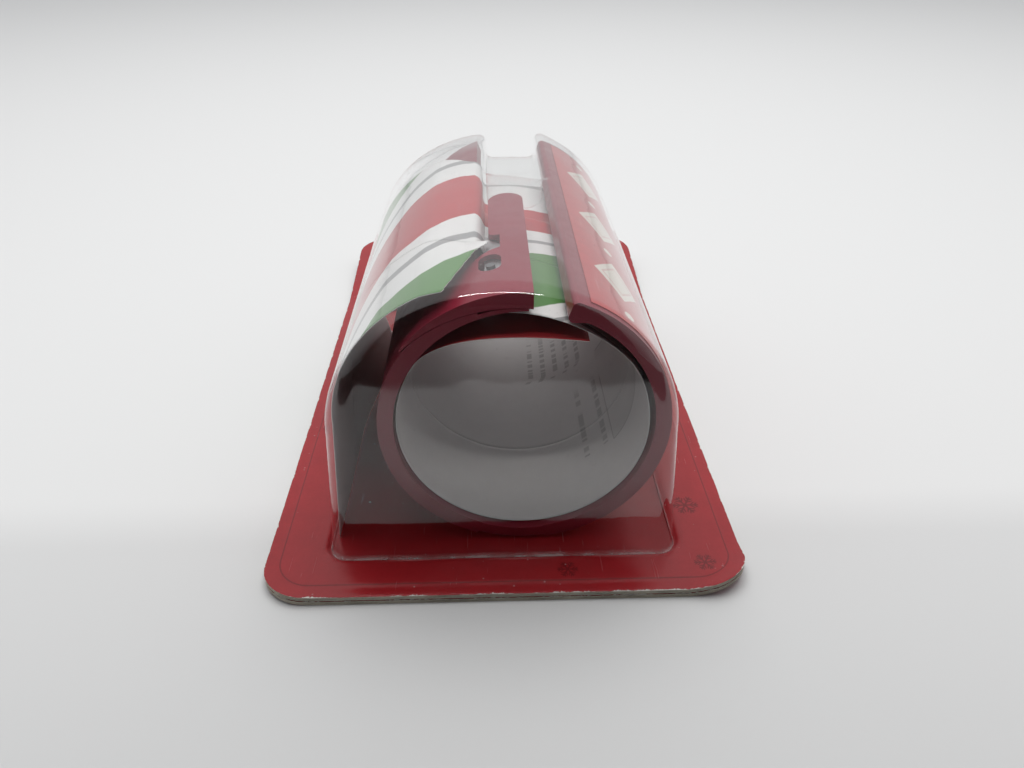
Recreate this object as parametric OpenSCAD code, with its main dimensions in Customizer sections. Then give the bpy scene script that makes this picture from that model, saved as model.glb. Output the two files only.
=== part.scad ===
// Gift wrap paper cutter in its retail pack: a slotted tube that clips round a roll of wrapping
// paper, with a bladed finger on one lip, held with a rolled sheet of sample wrap under a clear
// bubble between two printed boards. All sizes in millimetres. X runs across the card, Y along
// the tube away from its cutting end, Z up from the surface that the card lies on.

/* [Card] */
// Width of both boards
card_w = 108; // [100:1:130]
// Length of both boards, measured along them
card_l = 188; // [180:1:210]
// Thickness of one board
board_t = 1.1; // [0.8:0.1:1.6]
// Corner radius of the boards
card_corner_r = 11; // [6:0.5:14]
// Distance from the cutting end of the card to the crease of the hanging tab
crease_y = 143; // [142:1:146]
// How far the hanging tab is bent up at the crease, in degrees
tab_tilt = 7.4; // [0:0.2:10]
// Diameter of the hang hole
hang_hole_d = 8; // [6:0.5:12]
// Distance from the end of the tab to the middle of the hang hole
hang_hole_edge = 14; // [11:0.5:18]

/* [Bubble] */
// Thickness of the clear film
film_t = 0.4; // [0.3:0.05:0.6]
// How much wider the bubble is at the card than the tube
side_room = 15.8; // [15.4:0.2:20]
// Length of the bubble where it meets the card
bubble_l = 124.2; // [123:0.2:128]
// Height of the bubble above the surface that the card lies on
bubble_h = 68; // [67.5:0.5:72]
// Sideways place of the bubble's middle on the card
bubble_x = -0.4; // [-1:0.1:0.6]
// Distance from the cutting end of the card to the bubble
bubble_gap = 11.8; // [8:0.1:14]
// How far above the tube's axis the upright sides turn into the arch
shoulder_lift = 0.6; // [-2:0.1:4]
// How much narrower each side is at that height than at the card
side_draft = 2.2; // [0.5:0.1:2.3]
// How far the end walls lean in by the top
end_draft = 1.8; // [0.5:0.1:3]
// Radius of the edge between the end walls and the arch
bubble_edge_r = 4; // [2:0.5:6]
// Radius of the upright corners
bubble_corner_r = 4; // [2:0.5:6]
// Exponent of the arch, where 2 is an ellipse
arch_power = 2; // [2:0.05:2.5]
// Margin between the flange of the bubble and the edges of the card
flange_margin = 3.1; // [2:0.1:6]
// Corner radius of the flange
flange_corner_r = 8; // [4:0.5:12]

/* [Recess in the bubble] */
// Gap at each side between the recess and the guide lip's direction at the bore
recess_side_gap = 0.72; // [0.6:0.02:2]
// Depth of the recess that dips into the slot of the tube, from the top of the bubble
recess_depth = 10.4; // [6:0.1:10.8]
// Distance from the cutting end of the card to the rounded end of the recess
recess_y = 83; // [82:0.5:90]
// Corner radius of the rounded end
recess_corner_r = 4; // [2:0.5:7]

/* [Tube] */
// How much lower the tube's diameter is than the height of the bubble
head_room = 5; // [4.8:0.1:5.4]
// Wall of the tube
tube_wall = 3.4; // [3.2:0.1:3.6]
// Length of the tube
tube_l = 114.3; // [112:0.1:115]
// Sideways place of the tube's axis
tube_x = 4.4; // [4:0.1:4.5]
// Distance from the cutting end of the card to the tube
tube_y = 18; // [17.5:0.1:18.4]
// Gap between the tube and the board that it lies on
tube_rest_gap = 0.3; // [0.2:0.05:0.5]
// Direction of the guide lip from the tube's axis, in degrees from +X
lip_a = 73; // [72.4:0.2:73.4]
// How much the guide lip is thicker than the wall, inwards
lip_extra = 1.1; // [0.6:0.1:1.5]
// Width of the thick strip of the guide lip
lip_w = 4.2; // [3:0.1:6]
// Direction of the free edge of the cutter half
cutter_edge_a = 109; // [108.5:0.1:109.5]
// Direction of the spine's edge on the cutter side
spine_cutter_a = 250; // [248:1:252]
// Direction of the spine's edge on the guide side
spine_guide_a = 279; // [276:1:282]
// Thickness of the flexible spine
spine_t = 2.6; // [2:0.1:3]

/* [Cutting arm] */
// How far the arm stands proud of the tube
arm_proud = 0.7; // [0.4:0.1:1]
// Length of the finger from the cutting end of the tube
finger_l = 57.8; // [50:0.5:59]
// Width of the finger's paddle
finger_w = 8.6; // [8.4:0.1:8.8]
// Sideways place of the finger's straight side from the tube's axis
finger_side = 1.4; // [1.2:0.1:1.6]
// Thickness of the finger at its straight side
finger_t = 3.6; // [3.2:0.1:3.8]
// Distance from the cutting end to the near side of the blade notch
notch_y = 23.5; // [22:0.5:25]
// Length of the blade notch
notch_l = 7; // [6:0.5:8]
// Depth of the blade notch into the finger
notch_depth = 2.5; // [2:0.1:3.5]
// Direction in which the arm's crescent runs out on the tube
arm_end_a = 142; // [138:1:144]
// Width of the oblong window over the blade
window_w = 4.8; // [4:0.1:5.5]
// Length of the oblong window
window_l = 8; // [7:0.1:8.5]
// Distance from the cutting end to the middle of the window
window_y = 16; // [15:0.5:17]

/* [Blade] */
// Thickness of the steel blade
blade_t = 0.4; // [0.3:0.05:0.5]
// Width of the blade
blade_w = 5.8; // [5.4:0.1:6]
// Length of the blade's long side
blade_l = 22; // [20:0.5:23]
// Slant of the cutting end, in degrees away from the X direction
blade_slant = 55; // [50:1:58]
// Diameter of the pins that hold the blade
pin_d = 2; // [1.5:0.1:2.2]
// Distance between the pins along the blade
pin_pitch = 6; // [5:0.1:6.2]

/* [Label] */
// Thickness of the printed label
label_t = 0.15; // [0.1:0.05:0.2]
// Direction of the label's upper edge
label_top_a = 66; // [62:1:66]
// Direction of the label's lower edge
label_low_a = -14; // [-30:1:0]
// Margin between the label and the ends of the tube
label_margin = 2; // [1:0.5:6]

/* [Sample wrap] */
// Thickness of the sheet
wrap_t = 0.3; // [0.2:0.05:0.4]
// Distance from the tube's end to the near edge of the sheet
wrap_setback = 1.6; // [1:0.1:3]
// Width of the sheet along the tube
wrap_l = 88; // [80:1:90]
// Gap between the sheet and what it lies against
wrap_gap = 0.35; // [0.3:0.05:0.6]

/* [Hidden] */
$fn = 96;
// Thickness of a cut that has to pass right through something
over = 1;
// Smallest gap between two pieces that move past each other
slip = 0.3;
// Layer of glue under the label
glue_t = 0.05;

// Levels of the pack, from the surface up
flange_z = board_t;
front_z = flange_z + film_t;
card_top_z = front_z + board_t;
// The tab runs on from the crease at its tilt
tab_l = card_l - crease_y;
pack_depth = crease_y + tab_l * cos(tab_tilt);
// Tube
tube_d = bubble_h - head_room;
tube_r = tube_d / 2;
bore_r = tube_r - tube_wall;
tube_z = board_t + tube_rest_gap + tube_r;
// Bubble round the tube, and the floor and width of its recess
bubble_w = tube_d + side_room;
shoulder_z = tube_z + shoulder_lift;
recess_floor_z = bubble_h - recess_depth;
recess_w = 2 * (bore_r * cos(lip_a) - recess_side_gap);
// Arm: its crescent lies outside a seam circle that runs from under the finger to the tube's skin
arm_r = tube_r + arm_proud;
finger_under_r = arm_r - finger_t;
finger_dir = 89;
seam_a = -123;
seam_shift = 4.5;
seam_r = finger_under_r - seam_shift * cos(finger_dir - seam_a);
finger_x = tube_x + finger_side;
paddle_x = finger_x - finger_w;
paddle_r = finger_w / 2;
// Stand-off of the sheet's middle from what it lies against
wrap_off = wrap_gap + wrap_t / 2;
// Where the sheet goes down beside the finger, clear of the cutter half's edge
drop_x = tube_x + bore_r * cos(cutter_edge_a) + wrap_off;
// Blade: a flat strip in the arm, from the window to the notch; its own frame starts at the
// first pin's distance along it
blade_x = drop_x + wrap_off + blade_w / 2;
blade_y = tube_y + window_y;
blade_z = tube_z + finger_under_r + 1.75;
blade_lean = 12;
blade_near = 3.5;
// The two pins in that frame, and their ends
pins = [[-1.5, 0], [0.6, pin_pitch]];
pin_low = -2.1;
pin_high = 0.9;
// Wrap
wrap_y = tube_y + wrap_setback;
roll_r = bore_r - wrap_gap - wrap_t / 2;
roll_join_a = 25;
roll_back_a = -212;
// Past the notch the sheet is whole and goes down beside the finger; past the dip it runs lower,
// under the recess
crossing_y = tube_y + notch_y + 5.5;
dip_y = recess_y - 3.5;
// Where the sheet leaves the arch of the bubble, as an angle of the arch
wrap_leave_a = 117;
// Directions in which the sheet rounds the free edge of the cutter half
edge_clear_a = cutter_edge_a - 1.6;
// Levels of the sheet in the slot: under the finger, and where it dips under the recess
slot_level = tube_z + bore_r - wrap_off - 0.65;
dip_level = recess_floor_z - film_t - wrap_off - 0.25;
// Level of the flattened inner layer at its free end
inner_layer_z = tube_z + bore_r - 7.9;
// Cut edge of the sheet, from the near end to the notch
cut_near_x = tube_x - 16.5;
cut_far_x = tube_x - 6.4;

// ---------- helpers ----------

// Puts a piece drawn from the cutting end of the card into the frame of the part
module place() {
  translate([0, -pack_depth / 2, 0]) children();
}

// Draws a section in X and Z along Y, from one distance to another
module along_y(from, to) {
  translate([0, to, 0]) rotate([90, 0, 0]) linear_extrude(to - from) children();
}

// Draws a side view in Y and Z along X
module along_x(from, to) {
  translate([from, 0, 0]) rotate([90, 0, 90]) linear_extrude(to - from) children();
}

// Rounded rectangle by its low corner and its size
module rounded(low, size, r) {
  translate(low + [r, r]) {
    polygon(concat(
      arc_points([size[0] - 2 * r, size[1] - 2 * r], r, 0, 90, 12),
      arc_points([0, size[1] - 2 * r], r, 90, 180, 12),
      arc_points([0, 0], r, 180, 270, 12),
      arc_points([size[0] - 2 * r, 0], r, 270, 360, 12)
    ));
  }
}

// Points of an arc about a middle, both ends included
function arc_points(middle, r, from, to, steps) = [
  for (i = [0 : steps]) middle + r * [cos(from + (to - from) * i / steps), sin(from + (to - from) * i / steps)]
];

// Point at a direction and distance from the tube's axis, in X and Z
function tube_point(a, r) = [tube_x + r * cos(a), tube_z + r * sin(a)];

// Points of a cubic curve through four control points, without its first point
function curve_points(p, steps) = [
  for (i = [1 : steps])
    let (u = i / steps)
    pow(1 - u, 3) * p[0] + 3 * u * pow(1 - u, 2) * p[1] + 3 * pow(u, 2) * (1 - u) * p[2] + pow(u, 3) * p[3]
];

// Left-hand normal of a path at one of its points
function path_normal(p, i) =
  let (a = p[max(i - 1, 0)], b = p[min(i + 1, len(p) - 1)], d = (b - a) / norm(b - a))
  [-d[1], d[0]];

// A strip of even thickness along a path
module ribbon(p, t) {
  left = [for (i = [0 : len(p) - 1]) p[i] + path_normal(p, i) * t / 2];
  right = [for (i = [len(p) - 1 : -1 : 0]) p[i] - path_normal(p, i) * t / 2];
  polygon(concat(left, right));
}

// Part of a ring about the tube's axis between two directions
module ring_sector(r_in, r_out, from, to) {
  steps = ceil((to - from) / 30);
  intersection() {
    translate([tube_x, tube_z]) difference() {
      circle(r = r_out);
      circle(r = r_in);
    }
    polygon(concat(
      [[tube_x, tube_z]],
      [for (i = [0 : steps]) tube_point(from + (to - from) * i / steps, 2 * r_out)]
    ));
  }
}

// ---------- card ----------

// Side view of one board, flat to the crease and tilted beyond it
module board_side(z) {
  up = [-sin(tab_tilt), cos(tab_tilt)];
  along = [cos(tab_tilt), sin(tab_tilt)];
  fold = z * tan(tab_tilt / 2);
  fold_top = (z + board_t) * tan(tab_tilt / 2);
  polygon([
    [0, z],
    [crease_y - fold, z],
    [crease_y, 0] + along * tab_l + up * z,
    [crease_y, 0] + along * tab_l + up * (z + board_t),
    [crease_y - fold_top, z + board_t],
    [0, z + board_t]
  ]);
}

// One board with its rounded corners and its hang hole
module board(z) {
  difference() {
    intersection() {
      along_x(-card_w / 2, card_w / 2) board_side(z);
      translate([0, 0, -over]) linear_extrude(card_l) {
        rounded([-card_w / 2, 0], [card_w, pack_depth], card_corner_r);
      }
    }
    hang_hole();
  }
}

// Round hole square to the tilted tab
module hang_hole() {
  translate([0, crease_y, 0]) rotate([tab_tilt, 0, 0]) {
    translate([0, tab_l - hang_hole_edge, -over]) {
      cylinder(d = hang_hole_d, h = card_top_z + 2 * over);
    }
  }
}

module back_board() {
  color("firebrick") place() board(0);
}

module front_board() {
  color("firebrick") place() difference() {
    board(front_z);
    translate([0, 0, front_z - over]) linear_extrude(board_t + 2 * over) bubble_plan(-0.2);
  }
}

// ---------- bubble ----------

// Plan of the bubble, drawn in by an inset
module bubble_plan(inset) {
  rounded(
    [bubble_x - bubble_w / 2 + inset, bubble_gap + inset],
    [bubble_w - 2 * inset, bubble_l - 2 * inset],
    bubble_corner_r - min(inset, bubble_corner_r / 2)
  );
}

// Arch of the bubble, drawn in by an inset
function arch_points(inset, from, to, steps) = [
  for (i = [0 : steps])
    let (
      a = from + (to - from) * i / steps,
      c = cos(a),
      s = sin(a),
      half = bubble_w / 2 - side_draft - inset,
      rise = bubble_h - shoulder_z - inset
    )
    [
      bubble_x + half * sign(c) * pow(abs(c), 2 / arch_power),
      shoulder_z + rise * pow(abs(s), 2 / arch_power)
    ]
];

// Cross-section of the bubble
module bubble_section(inset, floor_z) {
  half = bubble_w / 2 - inset;
  polygon(concat(
    [[bubble_x - half, floor_z], [bubble_x + half, floor_z]],
    arch_points(inset, 0, 180, 48)
  ));
}

// Side view of the bubble
module bubble_side(inset, floor_z) {
  near = bubble_gap + inset;
  far = bubble_gap + bubble_l - inset;
  top = bubble_h - inset;
  r = bubble_edge_r - min(inset, bubble_edge_r / 2);
  polygon(concat(
    [[near, floor_z], [far, floor_z]],
    arc_points([far - end_draft - r, top - r], r, 0, 90, 10),
    arc_points([near + end_draft + r, top - r], r, 90, 180, 10)
  ));
}

module bubble_form(inset, floor_z) {
  intersection() {
    along_y(0, card_l) bubble_section(inset, floor_z);
    along_x(-card_w, card_w) bubble_side(inset, floor_z);
    linear_extrude(bubble_h + over) bubble_plan(inset);
  }
}

// Space above the recess, grown by the film on its tube side
module recess_form(grow) {
  w = recess_w + 2 * grow;
  x = tube_x - w / 2;
  translate([0, 0, recess_floor_z - grow]) linear_extrude(bubble_h) {
    rounded([x, recess_y - grow], [w, card_l], recess_corner_r + grow);
  }
}

module clear_blister() {
  color([0.9, 0.92, 0.93, 0.35]) place() difference() {
    union() {
      bubble_form(0, flange_z);
      translate([0, 0, flange_z]) linear_extrude(film_t) {
        rounded(
          [-card_w / 2 + flange_margin, flange_margin],
          [card_w - 2 * flange_margin, crease_y - 1 - 2 * flange_margin],
          flange_corner_r
        );
      }
    }
    difference() {
      bubble_form(film_t, flange_z - over);
      recess_form(film_t);
    }
    recess_form(0);
  }
}

// ---------- tube ----------

// Seam circle under the arm, in X and Z
module seam_disc(grow) {
  translate(tube_point(seam_a, seam_shift)) circle(r = seam_r + grow);
}

// Outline of the arm seen from above: wide foot at the cutting end, notch, neck and paddle
module arm_plan(grow) {
  neck_x = paddle_x + notch_depth;
  foot_x = tube_x + arm_r * cos(arm_end_a);
  tip_y = tube_y + finger_l - paddle_r;
  paddle_y = tube_y + notch_y + notch_l;
  polygon(concat(
    [[finger_x + grow, tube_y - over]],
    arc_points([finger_x - paddle_r, tip_y], paddle_r + grow, 0, 180, 24),
    arc_points([paddle_x + 2, paddle_y + 2], 2 + grow, 180, 250, 6),
    [
      [neck_x - grow, paddle_y - grow],
      [neck_x - grow, tube_y + notch_y + grow],
      [paddle_x + 0.2, tube_y + notch_y - 1 + grow]
    ],
    curve_points([
      [paddle_x - 0.4 - grow, tube_y + notch_y - 1.6 + grow],
      [paddle_x - 4.5 - grow, tube_y + notch_y - 4 + grow],
      [paddle_x - 5.5 - grow, tube_y + notch_y - 13 + grow],
      [foot_x - grow, tube_y + 1 + grow]
    ], 10),
    [[foot_x - grow, tube_y - over]]
  ));
}

// Oblong window through the arm
module window_hole() {
  x = paddle_x + 0.2;
  translate([x, tube_y + window_y, tube_z]) {
    linear_extrude(arm_r + over) {
      for (side = [-1, 1]) {
        translate([0, side * (window_l - window_w) / 2]) circle(d = window_w);
      }
      square([window_w, window_l - window_w], center = true);
    }
  }
}

module cutter_arm() {
  color([0.35, 0.05, 0.11]) place() difference() {
    intersection() {
      along_y(tube_y, tube_y + finger_l) difference() {
        translate([tube_x, tube_z]) circle(r = arm_r);
        seam_disc(slip / 3);
      }
      translate([0, 0, tube_z]) linear_extrude(arm_r + over) arm_plan(0);
    }
    window_hole();
    blade_pocket();
    blade_pin_set();
  }
}

// Half of the tube that carries the arm, from the spine round to its free edge, with a thin
// tongue at the cutting end that runs on under the arm
module cutter_shell() {
  color([0.35, 0.05, 0.11]) place() difference() {
    union() {
      along_y(tube_y, tube_y + tube_l) {
        ring_sector(bore_r, tube_r, cutter_edge_a, spine_cutter_a);
      }
      along_y(tube_y, tube_y + notch_y - 3.5) {
        ring_sector(bore_r, finger_under_r + 0.4, finger_dir, cutter_edge_a + 1);
      }
    }
    // Seat of the arm, down to the seam
    intersection() {
      along_y(tube_y - over, tube_y + finger_l) difference() {
        translate([tube_x, tube_z]) circle(r = arm_r + over);
        seam_disc(0);
      }
      translate([0, 0, tube_z]) linear_extrude(arm_r + over) arm_plan(slip / 2);
    }
    blade_pin_set();
  }
}

module guide_shell() {
  color([0.35, 0.05, 0.11]) place() along_y(tube_y, tube_y + tube_l) {
    ring_sector(bore_r, tube_r, spine_guide_a - 360, lip_a - 3);
    lip_section();
  }
}

// Thick rounded strip along the edge of the guide half
module lip_section() {
  r = (tube_wall + lip_extra) / 2;
  lip_edge = 1.2;
  middle_r = tube_r - r;
  lip_span = lip_w / middle_r * 180 / PI;
  hull() {
    for (step = [[lip_a - 2.6, middle_r + r - lip_edge], [lip_a - 2.6, middle_r - r + lip_edge],
      [lip_a - lip_span, middle_r + r - lip_edge], [lip_a - lip_span, bore_r + lip_edge]]) {
      translate(tube_point(step[0], step[1])) circle(r = lip_edge, $fn = 32);
    }
  }
}

module hinge_spine() {
  color([0.35, 0.05, 0.11]) place() along_y(tube_y, tube_y + tube_l) {
    ring_sector(bore_r + 0.3, bore_r + 0.3 + spine_t, spine_cutter_a, spine_guide_a);
  }
}

module guide_label() {
  color("crimson") place() along_y(tube_y + label_margin, tube_y + tube_l - label_margin) {
    ring_sector(tube_r + glue_t, tube_r + glue_t + label_t, label_low_a, label_top_a);
  }
}

// ---------- blade ----------

// Puts the blade's own frame into the arm
module on_blade_plane() {
  translate([blade_x, blade_y, blade_z]) rotate([0, -blade_lean, 0]) children();
}

// Outline of the blade: a strip with its cutting end slanted
module blade_plan(grow) {
  far = blade_l - blade_near;
  slope = tan(blade_slant);
  drawn_out = grow / cos(blade_slant);
  polygon([
    [-blade_w / 2 - grow, -blade_near - grow],
    [blade_w / 2 + grow, -blade_near - grow],
    [blade_w / 2 + grow, far - (blade_w + grow) * slope + drawn_out],
    [-blade_w / 2 - grow, far + grow * slope + drawn_out]
  ]);
}

// Seat of the blade in the arm, open to the arm's underside
module blade_pocket() {
  depth = 4;
  on_blade_plane() translate([0, 0, blade_t / 2 + slip / 3 - depth]) {
    linear_extrude(depth) blade_plan(slip / 2);
  }
}

module blade_pin_set() {
  on_blade_plane() for (at = pins) {
    translate([at[0], at[1], pin_low]) cylinder(d = pin_d, h = pin_high - pin_low);
  }
}

module blade() {
  bevel = 1;
  ground = 0.8 * blade_t;
  color("silver") place() on_blade_plane() difference() {
    translate([0, 0, -blade_t / 2]) linear_extrude(blade_t) blade_plan(0);
    // Ground bevel along the cutting end
    translate([-blade_w / 2, blade_l - blade_near, blade_t / 2]) rotate([0, 0, -blade_slant]) {
      translate([-blade_w, -bevel, 0]) rotate([-atan(ground / bevel), 0, 0]) {
        cube([4 * blade_w, 3 * bevel, blade_t]);
      }
    }
    for (at = pins) {
      translate([at[0], at[1], -over]) cylinder(d = pin_d, h = 2 * over);
    }
  }
}

module blade_pins() {
  color("gainsboro") place() blade_pin_set();
}

// ---------- sample wrap ----------

// Path up the side of the bubble and over its arch, up to where the sheet leaves it
function arch_path() =
  let (stand = film_t + wrap_off, foot_x = bubble_x - bubble_w / 2 + stand)
  concat(
    [[foot_x + wrap_t / 2, board_t + wrap_gap], [foot_x + side_draft, shoulder_z]],
    arch_points(stand, 176, wrap_leave_a, 18)
  );

// Path of the loose cut part, from the arch to just above the cutting arm
function loose_path() =
  let (
    from = arch_points(film_t + wrap_off, wrap_leave_a, wrap_leave_a, 1)[0],
    to = [cut_far_x + 1, tube_z + arm_r + wrap_off]
  )
  concat([from], curve_points([from, from + [3.4, 1.2], to - [5, 0.2], to], 12));

// Path from the arch over the free edge of the cutter half, down beside the finger and across
// the slot, with the sheet at a level in the slot
function crossing_path(level, via, reach) =
  let (
    from = arch_points(film_t + wrap_off, wrap_leave_a, wrap_leave_a, 1)[0],
    top = tube_point(edge_clear_a + 4, tube_r + 2.6 * wrap_off),
    brink = tube_point(edge_clear_a + 1.6, tube_r + 1.6 * wrap_off)
  )
  concat(
    [from],
    curve_points([from, from + [3, 1.1], top + [-3, 0.5], top], 8),
    [
      brink,
      tube_point(edge_clear_a, tube_r - wrap_off / 2),
      [drop_x, tube_z + bore_r + wrap_off],
      [drop_x, level + 0.9],
      [drop_x + 0.9, level]
    ],
    roll_entry([drop_x + 0.9, level], via, reach)
  );

// Path that lands on the bore from a point in the slot, bent towards a second point
function roll_entry(start, via, reach) =
  let (
    landing = tube_point(roll_join_a, roll_r),
    slope = [sin(roll_join_a), -cos(roll_join_a)]
  )
  curve_points([start, via, landing - reach * slope, landing], 16);

// Path round the bore, and back across the top as a flattened inner layer
function roll_path() =
  let (
    turn = [for (i = [0 : 72]) tube_point(roll_join_a + (roll_back_a - roll_join_a) * i / 72, roll_r)],
    leave = tube_point(roll_back_a, roll_r),
    slope = [sin(roll_back_a), -cos(roll_back_a)]
  )
  concat(turn, curve_points([
    leave,
    leave + 9 * slope,
    [tube_x - 2.4, inner_layer_z + 1.9],
    [tube_x + 13, inner_layer_z]
  ], 20));

module printed_insert() {
  far_y = wrap_y + wrap_l;
  start = [cut_far_x + 0.4, slot_level];
  via = [tube_x + 4.6, slot_level + 1.3];
  low_via = [tube_x + 9, dip_level + 0.5];
  color("white") place() {
    along_y(wrap_y, far_y) ribbon(roll_path(), wrap_t);
    along_y(wrap_y, far_y) ribbon(arch_path(), wrap_t);
    along_y(crossing_y, dip_y) ribbon(crossing_path(slot_level, via, 10), wrap_t);
    along_y(dip_y, far_y) ribbon(crossing_path(dip_level, low_via, 12), wrap_t);
    along_y(wrap_y, crossing_y) ribbon(concat([start], roll_entry(start, via, 10)), wrap_t);
    // Slanted cut that shows the arm
    intersection() {
      along_y(wrap_y, crossing_y) ribbon(loose_path(), wrap_t);
      linear_extrude(bubble_h) polygon([
        [-card_w, wrap_y - over],
        [cut_near_x, wrap_y - over],
        [cut_near_x, wrap_y],
        [cut_far_x, crossing_y],
        [cut_far_x, crossing_y + over],
        [-card_w, crossing_y + over]
      ]);
    }
  }
}

back_board();
front_board();
clear_blister();
guide_shell();
hinge_spine();
guide_label();
cutter_shell();
cutter_arm();
blade();
blade_pins();
printed_insert();
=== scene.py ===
"""Gift wrap paper cutter in its blister pack, lying on a pale table.

Every size is in millimetres, measured from the cutting end of the card, and is turned into
metres in the frame of the part when a mesh is made.
"""

import logging
import math
from dataclasses import dataclass, field
from enum import Enum
from typing import Callable, Optional, Sequence, Union

import bpy
import numpy as np
from mathutils import Euler, Matrix, Vector, geometry


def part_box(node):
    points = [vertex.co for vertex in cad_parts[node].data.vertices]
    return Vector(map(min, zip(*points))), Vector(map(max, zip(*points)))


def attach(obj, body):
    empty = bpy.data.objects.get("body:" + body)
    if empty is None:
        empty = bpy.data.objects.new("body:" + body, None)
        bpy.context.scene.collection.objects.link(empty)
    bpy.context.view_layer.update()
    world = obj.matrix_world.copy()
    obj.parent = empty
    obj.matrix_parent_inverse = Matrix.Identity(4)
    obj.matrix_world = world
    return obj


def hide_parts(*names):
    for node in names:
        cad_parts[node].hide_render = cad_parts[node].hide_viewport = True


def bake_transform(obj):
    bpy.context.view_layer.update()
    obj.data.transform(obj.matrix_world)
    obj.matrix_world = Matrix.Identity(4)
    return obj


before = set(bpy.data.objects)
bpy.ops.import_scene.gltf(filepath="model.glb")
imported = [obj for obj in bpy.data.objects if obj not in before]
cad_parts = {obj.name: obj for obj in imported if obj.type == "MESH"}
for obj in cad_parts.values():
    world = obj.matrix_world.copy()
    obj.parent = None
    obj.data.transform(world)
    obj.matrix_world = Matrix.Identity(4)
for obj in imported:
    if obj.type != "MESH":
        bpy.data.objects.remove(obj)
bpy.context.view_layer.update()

LOG = logging.getLogger("wrap_cutter")
MM = 0.001
CARD_FRONT_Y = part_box("back_board")[0][1]
Colour = tuple[float, float, float]
Point = tuple[float, float]
Value = Union[float, Sequence[float], bpy.types.NodeSocket]


class Body(Enum):
    """Bodies of the part that a piece can ride on."""

    PACKAGE = "package"
    TOOL = "tool"
    CUTTER = "cutter"


# ---------- small helpers ----------


def to_metres(points: np.ndarray) -> np.ndarray:
    """Turns points from the card's frame in millimetres into the part's frame in metres.

    Args:
        points: Array of N rows of X, Y and Z.

    Returns:
        The moved and scaled points.
    """
    moved = np.asarray(points, float) * MM
    moved[:, 1] += CARD_FRONT_Y
    return moved


def smooth_step(low: float, high: float, value: np.ndarray) -> np.ndarray:
    """Eases from 0 at one value to 1 at another.

    Args:
        low: Where the result is 0.
        high: Where the result is 1.
        value: The values to ease.

    Returns:
        Numbers from 0 to 1.
    """
    t = np.clip((np.asarray(value, float) - low) / (high - low), 0.0, 1.0)
    return t * t * (3.0 - 2.0 * t)


def ripple(points: np.ndarray, scale: float, seed: float = 0.0) -> np.ndarray:
    """Sums a few sine waves into a smooth, uneven ripple.

    Args:
        points: Array of N rows of coordinates.
        scale: Rough length of one wave.
        seed: Shifts the waves.

    Returns:
        N numbers from about -1 to 1.
    """
    result = np.zeros(len(points))
    for k in range(1, 6):
        turn = np.array([math.sin(1.7 * k + seed), math.cos(2.3 * k + seed), math.sin(0.9 * k)])
        turn = turn[: points.shape[1]]
        result += np.sin(points @ turn * (2.0 * math.pi * k**0.5 / scale) + 5.1 * k + seed)
    return result / 3.0


def bezier(p0: Point, p1: Point, p2: Point, p3: Point, steps: int) -> np.ndarray:
    """Samples a cubic curve, both ends included.

    Args:
        p0: First end.
        p1: First handle.
        p2: Second handle.
        p3: Second end.
        steps: Number of stretches.

    Returns:
        Array of steps + 1 rows.
    """
    u = np.linspace(0.0, 1.0, steps + 1)[:, None]
    p0, p1, p2, p3 = (np.array(p, float) for p in (p0, p1, p2, p3))
    return (1 - u) ** 3 * p0 + 3 * u * (1 - u) ** 2 * p1 + 3 * u**2 * (1 - u) * p2 + u**3 * p3


def resample(path: np.ndarray, count: int, smoothing: int = 0) -> np.ndarray:
    """Spaces the points of a path evenly, after rounding its corners.

    Args:
        path: Array of points.
        count: Number of points wanted.
        smoothing: How often each inner point moves towards its neighbours.

    Returns:
        Array of count rows.
    """
    for dense in ((4 * count, smoothing), (count, 0)):
        length = np.concatenate([[0.0], np.cumsum(np.linalg.norm(np.diff(path, axis=0), axis=1))])
        places = np.linspace(0.0, length[-1], dense[0])
        path = np.stack([np.interp(places, length, path[:, k]) for k in range(path.shape[1])], -1)
        for _ in range(dense[1]):
            path[1:-1] = (path[:-2] + 2.0 * path[1:-1] + path[2:]) / 4.0
    return path


def rounded_outline(low: Point, high: Point, radius: float, spacing: float) -> np.ndarray:
    """Makes the points of a rounded rectangle, anticlockwise.

    Args:
        low: Lowest corner.
        high: Highest corner.
        radius: Corner radius.
        spacing: Distance between points on the straight sides.

    Returns:
        Array of points without a repeated end.
    """
    points: list[Point] = []
    corners = [
        (high[0] - radius, low[1] + radius, -90.0),
        (high[0] - radius, high[1] - radius, 0.0),
        (low[0] + radius, high[1] - radius, 90.0),
        (low[0] + radius, low[1] + radius, 180.0),
    ]
    turns = max(5, int(radius * 1.6 / spacing) + 3)
    for n, (x, y, start) in enumerate(corners):
        for k in range(turns + 1):
            a = math.radians(start + 90.0 * k / turns)
            points.append((x + radius * math.cos(a), y + radius * math.sin(a)))
        following = corners[(n + 1) % 4]
        a = math.radians(following[2])
        end = (following[0] + radius * math.cos(a), following[1] + radius * math.sin(a))
        begin = points[-1]
        stretches = max(1, int(math.dist(begin, end) / spacing))
        for k in range(1, stretches):
            t = k / stretches
            points.append((begin[0] + (end[0] - begin[0]) * t, begin[1] + (end[1] - begin[1]) * t))
    return np.array(points)


def rounded_distance(points: np.ndarray, low: Point, high: Point, radius: float) -> np.ndarray:
    """Signed distance to a rounded rectangle, below zero inside.

    Args:
        points: Array of N rows of X and Y.
        low: Lowest corner.
        high: Highest corner.
        radius: Corner radius.

    Returns:
        N distances.
    """
    middle = (np.array(low) + np.array(high)) / 2.0
    half = (np.array(high) - np.array(low)) / 2.0 - radius
    q = np.abs(points - middle) - half
    outside = np.hypot(np.maximum(q[:, 0], 0.0), np.maximum(q[:, 1], 0.0))
    return outside + np.minimum(np.maximum(q[:, 0], q[:, 1]), 0.0) - radius


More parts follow.
